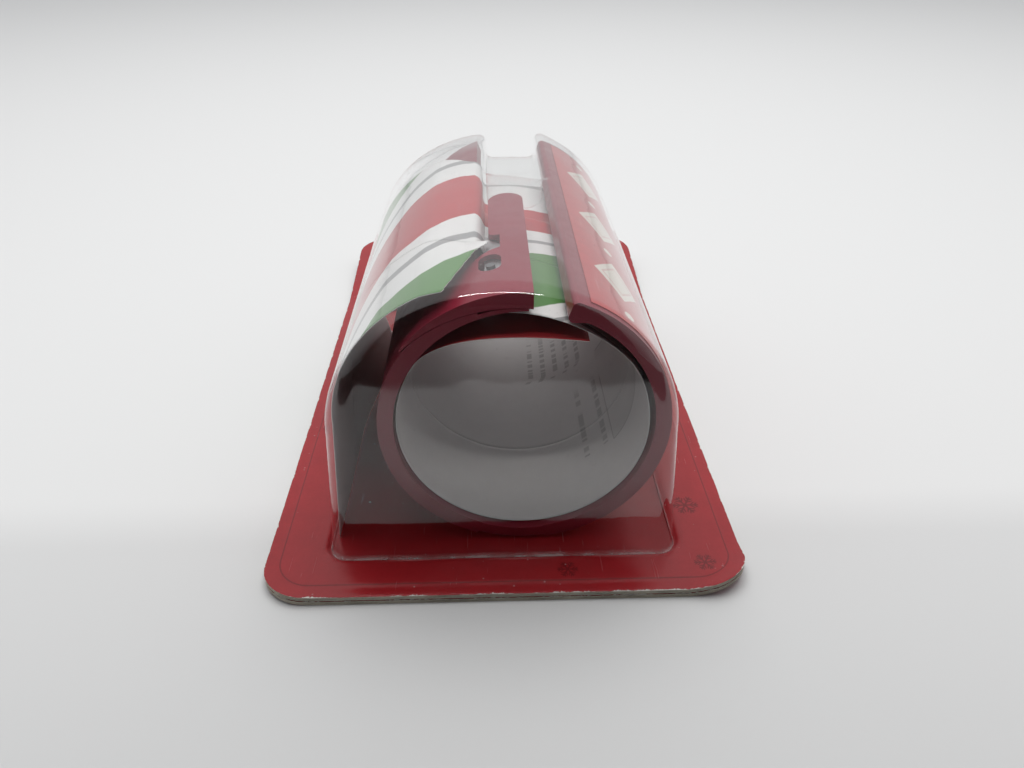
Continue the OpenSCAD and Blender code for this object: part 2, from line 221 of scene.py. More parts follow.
def convex_edge(a: np.ndarray, b: np.ndarray, radius: float) -> np.ndarray:
    """Distance to what two forms share, with an edge of some radius.

    Args:
        a: Distances to the first form.
        b: Distances to the second form.
        radius: Radius of the edge.

    Returns:
        The joined distances.
    """
    reach = np.hypot(np.maximum(a + radius, 0.0), np.maximum(b + radius, 0.0))
    return np.minimum(np.maximum(a, b), -radius) + reach


def hollow_edge(a: np.ndarray, b: np.ndarray, radius: float) -> np.ndarray:
    """Distance to two forms together, with a fillet of some radius where they meet.

    Args:
        a: Distances to the first form.
        b: Distances to the second form.
        radius: Radius of the fillet.

    Returns:
        The joined distances.
    """
    reach = np.hypot(np.maximum(radius - a, 0.0), np.maximum(radius - b, 0.0))
    return np.maximum(np.minimum(a, b), radius) - reach


def surface_of(
    form: Callable[[np.ndarray], np.ndarray],
    low: Sequence[float],
    high: Sequence[float],
    step: float,
) -> tuple[np.ndarray, np.ndarray, np.ndarray]:
    """Wraps a net of quads round a form given by its distance function.

    Args:
        form: Gives the signed distance of an array of points.
        low: Lowest corner of the space to search.
        high: Highest corner of that space.
        step: Size of a cell.

    Returns:
        Points on the form, quads of their numbers, and the form's normals there.
    """
    counts = [int((h - l) / step) + 2 for l, h in zip(low, high)]
    axes = [l + step * np.arange(n) for l, n in zip(low, counts)]
    grid = np.stack(np.meshgrid(*axes, indexing="ij"), -1).reshape(-1, 3)
    inside = (form(grid) < 0.0).reshape(counts)
    shape = tuple(n - 1 for n in counts)
    total = np.zeros(shape, int)
    for i in (0, 1):
        for j in (0, 1):
            for k in (0, 1):
                total += inside[i : i + shape[0], j : j + shape[1], k : k + shape[2]]
    crossed = (total > 0) & (total < 8)
    number = np.full(shape, -1)
    number[crossed] = np.arange(crossed.sum())
    points = np.array(low) + step * (np.argwhere(crossed) + 0.5)
    quads = []
    for axis in range(3):
        others = [n for n in range(3) if n != axis]
        first = np.take(inside, range(shape[axis]), axis)
        second = np.take(inside, range(1, shape[axis] + 1), axis)
        for up in (True, False):
            edges = np.argwhere(first & ~second if up else second & ~first)
            for n in others:
                edges = edges[(edges[:, n] > 0) & (edges[:, n] < shape[n])]
            ring = []
            for a, b in ((-1, -1), (0, -1), (0, 0), (-1, 0)):
                cell = edges.copy()
                cell[:, others[0]] += a
                cell[:, others[1]] += b
                ring.append(number[cell[:, 0], cell[:, 1], cell[:, 2]])
            flip = up == (axis == 1)
            quads.append(np.stack(ring[::-1] if flip else ring, -1))
    faces = np.concatenate(quads)
    normals = np.zeros_like(points)
    reach = 0.02
    for _ in range(8):
        value = form(points)
        slope = np.stack(
            [
                (form(points + reach * unit) - form(points - reach * unit)) / (2 * reach)
                for unit in np.eye(3)
            ],
            -1,
        )
        size = np.maximum((slope**2).sum(-1, keepdims=True), 0.05)
        normals = slope / np.sqrt(size)
        points = points - np.clip(value[:, None] / size, -step, step) * slope
    normals /= np.maximum(np.linalg.norm(normals, axis=1, keepdims=True), 1e-6)
    return points, faces, normals


def make_piece(
    name: str,
    points: np.ndarray,
    faces: Sequence[Sequence[int]],
    materials: Sequence[bpy.types.Material],
    face_material: Optional[Sequence[int]] = None,
    normals: Optional[np.ndarray] = None,
    sharp_from: float = 40.0,
) -> bpy.types.Object:
    """Makes a mesh object from points in the card's frame.

    Args:
        name: Name of the piece.
        points: Array of points in millimetres.
        faces: Faces as lists of point numbers.
        materials: Materials in the order of their slots.
        face_material: Slot number of each face.
        normals: A normal for each point, where the shading is given.
        sharp_from: Angle in degrees above which an edge shades sharp.

    Returns:
        The new object.
    """
    mesh = bpy.data.meshes.new(name)
    mesh.from_pydata(to_metres(points).tolist(), [], [list(map(int, f)) for f in faces])
    for material in materials:
        mesh.materials.append(material)
    if face_material is not None:
        mesh.polygons.foreach_set("material_index", list(face_material))
    mesh.update()
    mesh.validate()
    mesh.shade_smooth()
    if normals is not None:
        mesh.normals_split_custom_set_from_vertices(normals.tolist())
    else:
        mesh.set_sharp_from_angle(angle=math.radians(sharp_from))
    piece = bpy.data.objects.new(name, mesh)
    bpy.context.scene.collection.objects.link(piece)
    return piece


def paint_uv(piece: bpy.types.Object, layer: str, per_point: np.ndarray) -> None:
    """Stores two numbers of each point in a UV layer.

    Args:
        piece: The object.
        layer: Name of the UV layer.
        per_point: Array of N rows of two numbers.
    """
    mesh = piece.data
    uv = mesh.uv_layers.new(name=layer)
    corners = np.zeros(len(mesh.loops), int)
    mesh.loops.foreach_get("vertex_index", corners)
    uv.data.foreach_set("uv", np.asarray(per_point, float)[corners].ravel())


# ---------- shader building ----------


class Graph:
    """A node tree that grows by short calls."""

    def __init__(self, tree: bpy.types.NodeTree) -> None:
        """Keeps the tree.

        Args:
            tree: Node tree of a material, a world or a group.
        """
        self.tree = tree

    def put(self, kind: str, settings: Optional[dict] = None, **values: Value) -> bpy.types.Node:
        """Adds a node, sets its options, and sets or links its inputs.

        Args:
            kind: Type of the node without the words ShaderNode.
            settings: Options of the node.
            values: Inputs by name, with _ for a space, or by number after the letter n.

        Returns:
            The node.
        """
        node = self.tree.nodes.new("ShaderNode" + kind)
        for key, value in (settings or {}).items():
            setattr(node, key, value)
        for key, value in values.items():
            if key[0] == "n" and key[1:].isdigit():
                socket = node.inputs[int(key[1:])]
            else:
                socket = node.inputs[key.replace("_", " ")]
            self.feed(socket, value)
        return node

    def feed(self, socket: bpy.types.NodeSocket, value: Value) -> None:
        """Links a socket to an input, or sets the input's own value.

        Args:
            socket: The input.
            value: A socket or a plain value.
        """
        if isinstance(value, bpy.types.NodeSocket):
            self.tree.links.new(value, socket)
            return
        if not isinstance(value, (int, float)) and len(value) == 3 and socket.type == "RGBA":
            value = (*value, 1.0)
        socket.default_value = value

    def math(
        self, operation: str, a: Value, b: Value = 0.0, c: Value = 0.0
    ) -> bpy.types.NodeSocket:
        """Adds a Math node.

        Args:
            operation: Name of the operation.
            a: First value.
            b: Second value.
            c: Third value.

        Returns:
            Its result.
        """
        return self.put("Math", {"operation": operation}, n0=a, n1=b, n2=c).outputs[0]

    def vector(self, operation: str, a: Value, b: Value = (0.0, 0.0, 0.0)) -> bpy.types.Node:
        """Adds a Vector Math node.

        Args:
            operation: Name of the operation.
            a: First vector.
            b: Second vector.

        Returns:
            The node.
        """
        return self.put("VectorMath", {"operation": operation}, n0=a, n1=b)

    def blend(self, factor: Value, a: Value, b: Value) -> bpy.types.NodeSocket:
        """Mixes two colours.

        Args:
            factor: 0 for the first colour and 1 for the second.
            a: First colour.
            b: Second colour.

        Returns:
            The mixed colour.
        """
        node = self.put("Mix", {"data_type": "RGBA"})
        self.feed(node.inputs["Factor"], factor)
        self.feed(node.inputs[6], a)
        self.feed(node.inputs[7], b)
        return node.outputs[2]

    def span(
        self, value: Value, low: float, high: float, start: float = 0.0, end: float = 1.0
    ) -> bpy.types.NodeSocket:
        """Maps a range onto another with soft ends.

        Args:
            value: The value.
            low: Where the result is start.
            high: Where the result is end.
            start: First result.
            end: Last result.

        Returns:
            The mapped value.
        """
        node = self.put("MapRange", {"interpolation_type": "SMOOTHSTEP"}, Value=value)
        for key, number in (
            ("From Min", low), ("From Max", high), ("To Min", start), ("To Max", end)
        ):
            node.inputs[key].default_value = number
        return node.outputs["Result"]

    def noise(
        self, vector: Value, scale: float, detail: float = 3.0, rough: float = 0.5
    ) -> bpy.types.NodeSocket:
        """Adds a Noise node.

        Args:
            vector: Coordinates.
            scale: Waves per unit.
            detail: Number of finer layers.
            rough: Weight of the finer layers.

        Returns:
            The noise from 0 to 1.
        """
        node = self.put(
            "TexNoise", None, Vector=vector, Scale=scale, Detail=detail, Roughness=rough
        )
        return node.outputs["Fac"]

    def place(self) -> bpy.types.NodeSocket:
        """Gives the object coordinates in metres."""
        return self.put("TexCoord").outputs["Object"]

    def uv(self, layer: str) -> tuple[bpy.types.NodeSocket, bpy.types.NodeSocket]:
        """Reads a UV layer.

        Args:
            layer: Name of the layer.

        Returns:
            Its two numbers.
        """
        parts = self.put(
            "SeparateXYZ", None, Vector=self.put("UVMap", {"uv_map": layer}).outputs[0]
        )
        return parts.outputs[0], parts.outputs[1]

    def group(self, tree: bpy.types.NodeTree, **values: Value) -> bpy.types.Node:
        """Places a node group.

        Args:
            tree: The group.
            values: Its inputs by name, with _ for a space.

        Returns:
            The group node.
        """
        return self.put("Group", {"node_tree": tree}, **values)

    def bump(self, height: Value, depth: float, strength: float = 1.0) -> bpy.types.NodeSocket:
        """Adds a Bump node.

        Args:
            height: Height from 0 to 1.
            depth: Height of the bump in metres.
            strength: Strength of the bump.

        Returns:
            The bent normal.
        """
        node = self.put("Bump", None, Height=height)
        node.inputs["Distance"].default_value = depth
        node.inputs["Strength"].default_value = strength
        return node.outputs["Normal"]


def new_material(name: str) -> tuple[bpy.types.Material, Graph, bpy.types.Node]:
    """Makes an empty material.

    Args:
        name: Name of the material.

    Returns:
        The material, its graph and its output node.
    """
    material = bpy.data.materials.new(name)
    material.use_nodes = True
    material.node_tree.nodes.clear()
    graph = Graph(material.node_tree)
    return material, graph, graph.put("OutputMaterial")


def new_group(
    name: str, inputs: dict[str, object], outputs: dict[str, str]
) -> tuple[bpy.types.NodeTree, Graph, bpy.types.Node, bpy.types.Node]:
    """Makes an empty node group.

    Args:
        name: Name of the group.
        inputs: Default of each named input, a number or a vector.
        outputs: Socket type of each named output.

    Returns:
        The group, its graph, its input node and its output node.
    """
    tree = bpy.data.node_groups.new(name, "ShaderNodeTree")
    for key, default in inputs.items():
        kind = "NodeSocketFloat" if isinstance(default, (int, float)) else "NodeSocketVector"
        tree.interface.new_socket(key, in_out="INPUT", socket_type=kind).default_value = default
    for key, kind in outputs.items():
        tree.interface.new_socket(key, in_out="OUTPUT", socket_type=kind)
    start = tree.nodes.new("NodeGroupInput")
    end = tree.nodes.new("NodeGroupOutput")
    return tree, Graph(tree), start, end


@dataclass
class Effects:
    """Shader node groups that several finishes share, each built once."""

    grain: bpy.types.NodeTree = field(init=False)
    dust: bpy.types.NodeTree = field(init=False)
    fibre: bpy.types.NodeTree = field(init=False)
    chips: bpy.types.NodeTree = field(init=False)
    flake: bpy.types.NodeTree = field(init=False)
    scuffs: bpy.types.NodeTree = field(init=False)

    def __post_init__(self) -> None:
        """Builds every group."""
        self.grain = self.make_grain()
        self.dust = self.make_dust()
        self.fibre = self.make_fibre()
        self.chips = self.make_chips()
        self.flake = self.make_flake()
        self.scuffs = self.make_scuffs()

    def make_grain(self) -> bpy.types.NodeTree:
        """Makes the fine grain and slow waviness of a moulded surface.

        Returns:
            The group, with the outputs Height, Shine and Tone.
        """
        tree, g, start, end = new_group(
            "mould_grain",
            {"Scale": 1.0},
            {"Height": "NodeSocketFloat", "Shine": "NodeSocketFloat", "Tone": "NodeSocketFloat"},
        )
        place = g.vector("SCALE", g.place())
        g.feed(place.inputs["Scale"], start.outputs["Scale"])
        fine = g.noise(place.outputs[0], 2600.0, 2.0)
        slow = g.noise(place.outputs[0], 130.0, 2.0)
        g.feed(end.inputs["Height"], g.math("ADD", g.math("MULTIPLY", fine, 0.25), slow))
        g.feed(end.inputs["Shine"], g.span(g.noise(place.outputs[0], 320.0, 4.0, 0.6), 0.3, 0.7))
        g.feed(end.inputs["Tone"], g.span(slow, 0.3, 0.7))
        return tree

    def make_dust(self) -> bpy.types.NodeTree:
        """Makes specks of dust that lie mostly on surfaces that face up.

        Returns:
            The group, with the output Mask.
        """
        tree, g, start, end = new_group(
            "dust_specks", {"Amount": 0.5, "Scale": 900.0}, {"Mask": "NodeSocketFloat"}
        )
        spots = g.put(
            "TexVoronoi", {"feature": "F1"}, Vector=g.place(), Scale=start.outputs["Scale"]
        )
        spots.inputs["Randomness"].default_value = 1.0
        near = g.span(spots.outputs["Distance"], 0.02, 0.2, 1.0, 0.0)
        chosen = g.span(
            g.put("SeparateColor", None, Color=spots.outputs["Color"]).outputs[0], 0.9, 0.93
        )
        patches = g.span(g.noise(g.place(), 90.0, 3.0, 0.6), 0.45, 0.7)
        up = g.put("SeparateXYZ", None, Vector=g.put("NewGeometry").outputs["Normal"]).outputs[2]
        lying = g.span(up, -0.2, 0.9, 0.25, 1.0)
        mask = g.math("MULTIPLY", g.math("MULTIPLY", near, chosen), g.math("ADD", patches, 0.25))
        g.feed(
            end.inputs["Mask"],
            g.math("MULTIPLY", g.math("MULTIPLY", mask, lying), start.outputs["Amount"]),
        )
        return tree

    def make_fibre(self) -> bpy.types.NodeTree:
        """Makes the cloudy fibres of paper and board.

        Returns:
            The group, with the outputs Height and Tone.
        """
        tree, g, start, end = new_group(
            "paper_fibre",
            {"Scale": 1.0, "Stretch": (1.0, 1.0, 1.0)},
            {"Height": "NodeSocketFloat", "Tone": "NodeSocketFloat"},
        )
        place = g.vector("MULTIPLY", g.place(), start.outputs["Stretch"])
        scaled = g.vector("SCALE", place.outputs[0])
        g.feed(scaled.inputs["Scale"], start.outputs["Scale"])
        fine = g.noise(scaled.outputs[0], 2400.0, 5.0, 0.65)
        cloud = g.noise(scaled.outputs[0], 260.0, 4.0, 0.6)
        g.feed(
            end.inputs["Height"],
            g.math("ADD", g.math("MULTIPLY", fine, 0.6), g.math("MULTIPLY", cloud, 0.4)),
        )
        g.feed(end.inputs["Tone"], g.span(g.math("ADD", fine, cloud), 0.75, 1.25))
        return tree

    def make_chips(self) -> bpy.types.NodeTree:
        """Makes chips along an edge, from the distance to that edge.

        Returns:
            The group, with the output Mask.
        """
        tree, g, start, end = new_group(
            "edge_chips",
            {"Distance": 1.0, "Width": 0.4, "Scale": 1.0},
            {"Mask": "NodeSocketFloat"},
        )
        place = g.vector("SCALE", g.place())
        g.feed(place.inputs["Scale"], start.outputs["Scale"])
        coarse = g.noise(place.outputs[0], 260.0, 3.0, 0.6)
        fine = g.noise(place.outputs[0], 1500.0, 4.0, 0.7)
        ragged = g.math(
            "MULTIPLY",
            g.math("MULTIPLY", g.span(coarse, 0.42, 0.72), g.span(fine, 0.25, 0.75)),
            2.2,
        )
        limit = g.math("MULTIPLY", ragged, start.outputs["Width"])
        room = g.math("SUBTRACT", limit, start.outputs["Distance"])
        g.feed(end.inputs["Mask"], g.span(room, -0.02, 0.05))
        return tree

    def make_flake(self) -> bpy.types.NodeTree:
        """Makes a six-armed flake ornament on a flat surface.

        Returns:
            The group, with the output Mask.
        """
        tree, g, start, end = new_group(
            "flake_ornament",
            {"Place": (0.0, 0.0, 0.0), "Centre": (0.0, 0.0, 0.0), "Radius": 0.003},
            {"Mask": "NodeSocketFloat"},
        )
        local = g.vector("SUBTRACT", start.outputs["Place"], start.outputs["Centre"])
        parts = g.put("SeparateXYZ", None, Vector=local.outputs[0])
        x = g.math("DIVIDE", parts.outputs[0], start.outputs["Radius"])
        y = g.math("DIVIDE", parts.outputs[1], start.outputs["Radius"])
        reach = g.math("SQRT", g.math("ADD", g.math("MULTIPLY", x, x), g.math("MULTIPLY", y, y)))
        turn = g.math("PINGPONG", g.math("ARCTAN2", y, x), math.radians(30.0))
        along = g.math("MULTIPLY", reach, g.math("COSINE", turn))
        aside = g.math("MULTIPLY", reach, g.math("SINE", turn))
        arm = g.math(
            "MULTIPLY", g.span(aside, 0.05, 0.09, 1.0, 0.0), g.span(along, 0.95, 1.0, 1.0, 0.0)
        )
        mask = arm
        for root, length in ((0.38, 0.30), (0.66, 0.22)):
            away = g.math("ABSOLUTE", g.math("SUBTRACT", g.math("SUBTRACT", along, root), aside))
            twig = g.math(
                "MULTIPLY",
                g.span(away, 0.05, 0.1, 1.0, 0.0),
                g.span(aside, length, length + 0.05, 1.0, 0.0),
            )
            mask = g.math("MAXIMUM", mask, twig)
        g.feed(end.inputs["Mask"], mask)
        return tree

    def make_scuffs(self) -> bpy.types.NodeTree:
        """Makes thin rubbed lines in two directions.

        Returns:
            The group, with the output Mask.
        """
        tree, g, start, end = new_group("rub_scuffs", {"Scale": 1.0}, {"Mask": "NodeSocketFloat"})
        mask: Value = 0.0
        for turn, stretch in ((0.5, 18.0), (-0.9, 26.0)):
            mapped = g.put("Mapping", None, Vector=g.place())
            mapped.inputs["Rotation"].default_value = (0.2, 0.1, turn)
            mapped.inputs["Scale"].default_value = (stretch, 1.0, stretch)
            scaled = g.vector("SCALE", mapped.outputs[0])
            g.feed(scaled.inputs["Scale"], start.outputs["Scale"])
            lines = g.span(g.noise(scaled.outputs[0], 55.0, 2.0), 0.69, 0.74)
            mask = g.math("MAXIMUM", mask, lines)
        g.feed(end.inputs["Mask"], mask)
        return tree


# ---------- finishes ----------


@dataclass(frozen=True)
class MouldedPlastic:
    """Maroon moulded plastic with a soft gloss."""

    name: str
    colour: Colour = (0.21, 0.014, 0.032)
    roughness: float = 0.3

    def material(self, effects: Effects) -> bpy.types.Material:
        """Builds the material.

        Args:
            effects: The shared groups.

        Returns:
            The material.
        """
        material, g, out = new_material(self.name)
        grain = g.group(effects.grain, Scale=1.0)
        dust = g.group(effects.dust, Amount=0.2, Scale=800.0)
        deep = tuple(0.94 * c for c in self.colour)
        base = g.blend(grain.outputs["Tone"], deep, self.colour)
        base = g.blend(dust.outputs["Mask"], base, (0.5, 0.45, 0.45))
        rough = g.span(
            grain.outputs["Shine"], 0.0, 1.0, self.roughness - 0.02, self.roughness + 0.06
        )
        shader = g.put("BsdfPrincipled", None, Base_Color=base, Roughness=rough)
        shader.inputs["IOR"].default_value = 1.5
        g.feed(shader.inputs["Normal"], g.bump(grain.outputs["Height"], 0.000008))
        g.feed(out.inputs["Surface"], shader.outputs[0])
        return material


@dataclass(frozen=True)
class ClearFilm:
    """Clear thermoformed film, a little milky and scuffed, with a painted highlight along its base
    crease.
    """

    name: str = "clear_film_finish"
    haze: float = 0.004
    facing_gloss: float = 0.078
    grazing_power: float = 4.2
    roughness: float = 0.05

    def material(self, effects: Effects) -> bpy.types.Material:
        """Builds the material.

        Args:
            effects: The shared groups.

        Returns:
            The material.
        """
        material, g, out = new_material(self.name)
        scuffs = g.group(effects.scuffs, Scale=1.0)
        dust = g.group(effects.dust, Amount=1.0, Scale=700.0)
        waves = g.noise(g.place(), 45.0, 2.0)
        normal = g.bump(waves, 0.00035)
        clear = g.put("BsdfTransparent", None, Color=(0.985, 0.988, 0.985))
        milk = g.put("BsdfDiffuse", None, Color=(0.9, 0.91, 0.91))
        gloss = g.put("BsdfGlossy", {"distribution": "MULTI_GGX"}, Color=(1.0, 1.0, 1.0))
        gloss.inputs["Roughness"].default_value = self.roughness
        g.feed(gloss.inputs["Normal"], normal)
        facing = g.put("LayerWeight", None, Normal=normal)
        facing.inputs["Blend"].default_value = 0.5
        grazing = g.math("POWER", facing.outputs["Facing"], self.grazing_power)
        both_faces = g.math("MULTIPLY_ADD", grazing, 1.0 - self.facing_gloss, self.facing_gloss)
        cover = g.math("ADD", g.math("MULTIPLY", scuffs.outputs["Mask"], 0.04), self.haze)
        cover = g.math("ADD", cover, g.math("MULTIPLY", dust.outputs["Mask"], 0.5))
        # Milky white along the base crease of the film is a painted highlight, the line of light
        # along its base.
        crease, _ = g.uv("crease")
        broken = g.span(g.noise(g.place(), 170.0, 4.0, 0.6), 0.35, 0.6, 0.1, 0.42)
        cover = g.math("ADD", cover, g.math("MULTIPLY", crease, broken))
        body = g.put("MixShader", None, n0=cover, n1=clear.outputs[0], n2=milk.outputs[0])
        skin = g.put("MixShader", None, n0=both_faces, n1=body.outputs[0], n2=gloss.outputs[0])
        g.feed(out.inputs["Surface"], skin.outputs[0])
        return material


@dataclass(frozen=True)
class RedPrint:
    """Red coated print with edge chips, flake ornaments and painted shade on the pressed flange
    line.
    """

    name: str
    colour: Colour = (0.27, 0.012, 0.016)
    roughness: float = 0.2
    flakes: tuple[tuple[float, float, float], ...] = ()
    painted_groove_shade: bool = False
    flake_depth: float = 0.55

    def material(self, effects: Effects) -> bpy.types.Material:
        """Builds the material.

        Args:
            effects: The shared groups.

        Returns:
            The material.
        """
        material, g, out = new_material(self.name)
        place = g.place()
        fibre = g.group(effects.fibre, Scale=0.6)
        scuffs = g.group(effects.scuffs, Scale=1.4)
        dust = g.group(effects.dust, Amount=0.8, Scale=600.0)
        rim, flange = g.uv("rim")
        chips = g.group(effects.chips, Distance=rim, Width=0.24)
        light = tuple(1.12 * c for c in self.colour)
        base = g.blend(fibre.outputs["Tone"], self.colour, light)
        for x, y, radius in self.flakes:
            centre = (x * MM, y * MM + CARD_FRONT_Y, 0.0)
            flake = g.group(effects.flake, Place=place, Centre=centre, Radius=radius * MM)
            dark = tuple(self.flake_depth * c for c in self.colour)
            base = g.blend(flake.outputs["Mask"], base, dark)
        # Painted shade: darkens the print in a thin line along the pressed outline of the flange.
        if self.painted_groove_shade:
            groove_shade = g.span(g.math("ABSOLUTE", g.math("ADD", flange, 0.2)), 0.06, 0.26, 0.55, 0.0)
            base = g.blend(groove_shade, base, tuple(0.25 * c for c in self.colour))
        base = g.blend(g.math("MULTIPLY", scuffs.outputs["Mask"], 0.02), base, (0.5, 0.3, 0.3))
        base = g.blend(dust.outputs["Mask"], base, (0.6, 0.55, 0.55))
        base = g.blend(chips.outputs["Mask"], base, (0.62, 0.6, 0.57))
        worn = g.math(
            "MAXIMUM", chips.outputs["Mask"], g.math("MULTIPLY", scuffs.outputs["Mask"], 0.15)
        )
        rough = g.math("ADD", g.math("MULTIPLY", worn, 0.5), self.roughness)
        shader = g.put("BsdfPrincipled", None, Base_Color=base, Roughness=rough)
        shader.inputs["IOR"].default_value = 1.5
        waves = g.math(
            "ADD", fibre.outputs["Height"], g.math("MULTIPLY", g.noise(place, 60.0, 2.0), 6.0)
        )
        waves = g.math("SUBTRACT", waves, g.math("MULTIPLY", chips.outputs["Mask"], 4.0))
        g.feed(shader.inputs["Normal"], g.bump(waves, 0.000012))
        g.feed(out.inputs["Surface"], shader.outputs[0])
        return material


@dataclass(frozen=True)
class BoardEdge:
    """Cut edge of grey-brown board, with its layers, painted shade in the splits, and loose
    fibres.
    """

    name: str = "board_edge_finish"
    pale: Colour = (0.58, 0.53, 0.44)
    dark: Colour = (0.12, 0.1, 0.075)

    def material(self, effects: Effects) -> bpy.types.Material:
        """Builds the material.

        Args:
            effects: The shared groups.

        Returns:
            The material.
        """
        material, g, out = new_material(self.name)
        along, level = g.uv("edge")
        fibre = g.group(effects.fibre, Scale=0.8, Stretch=(1.0, 1.0, 4.0))
        wobble = g.math("MULTIPLY", g.noise(g.place(), 140.0, 3.0), 0.5)
        layer = g.math("ADD", g.math("MULTIPLY", level, 3.0), wobble)
        gaps = g.math("PINGPONG", layer, 0.5)
        # Painted shade darkens the splits between the layers, which are also bumped in.
        split_shade = g.span(gaps, 0.03, 0.14, 1.0, 0.0)
        split_shade = g.math("MULTIPLY", split_shade, g.span(g.noise(g.place(), 90.0, 2.0), 0.42, 0.6))
        base = g.blend(fibre.outputs["Tone"], tuple(0.7 * c for c in self.pale), self.pale)
        base = g.blend(g.math("MULTIPLY", split_shade, 0.85), base, self.dark)
        torn = g.span(
            g.math("ADD", level, g.math("MULTIPLY", g.noise(g.place(), 900.0, 3.0), 0.3)),
            1.02,
            1.1,
        )
        base = g.blend(torn, base, (0.6, 0.57, 0.52))
        shader = g.put("BsdfPrincipled", None, Base_Color=base)
        shader.inputs["Roughness"].default_value = 0.9
        shader.inputs["Specular IOR Level"].default_value = 0.2
        height = g.math("SUBTRACT", fibre.outputs["Height"], split_shade)
        g.feed(shader.inputs["Normal"], g.bump(height, 0.00012))
        g.feed(out.inputs["Surface"], shader.outputs[0])
        return material


@dataclass(frozen=True)
class StripedPrint:
    """Gift wrap print: red and green bands on white, with a grey line in each white band."""

    name: str = "striped_wrap_finish"
    red: Colour = (0.42, 0.022, 0.03)
    green: Colour = (0.085, 0.22, 0.06)
    grey: Colour = (0.3, 0.3, 0.31)
    white: Colour = (0.72, 0.72, 0.72)

    def material(self, effects: Effects) -> bpy.types.Material:
        """Builds the material.

        Args:
            effects: The shared groups.

        Returns:
            The material.
        """
        material, g, out = new_material(self.name)
        band, _ = g.uv("bands")
        fibre = g.group(effects.fibre, Scale=1.0)
        base: Value = self.white
        soft = 0.012
        red = g.span(band, 1.0 - soft, 1.0 + soft, 1.0, 0.0)
        for middle in (1.5, 3.5):
            away = g.math("ABSOLUTE", g.math("SUBTRACT", band, middle))
            base = g.blend(g.span(away, 0.055, 0.075, 1.0, 0.0), base, self.grey)
        green = g.math(
            "MULTIPLY",
            g.span(band, 2.0 - soft, 2.0 + soft),
            g.span(band, 3.0 - soft, 3.0 + soft, 1.0, 0.0),
        )
        base = g.blend(green, base, self.green)
        red = g.math("ADD", red, g.span(band, 4.0 - soft, 4.0 + soft))
        base = g.blend(red, base, self.red)
        base = g.blend(g.math("MULTIPLY", fibre.outputs["Tone"], 0.06), base, (0.1, 0.1, 0.1))
        shader = g.put("BsdfPrincipled", None, Base_Color=base)
        shader.inputs["Roughness"].default_value = 0.38
        shader.inputs["IOR"].default_value = 1.48
        waves = g.math(
            "ADD", fibre.outputs["Height"], g.math("MULTIPLY", g.noise(g.place(), 40.0, 2.0), 8.0)
        )
        g.feed(shader.inputs["Normal"], g.bump(waves, 0.00001))
        g.feed(out.inputs["Surface"], shader.outputs[0])
        return material


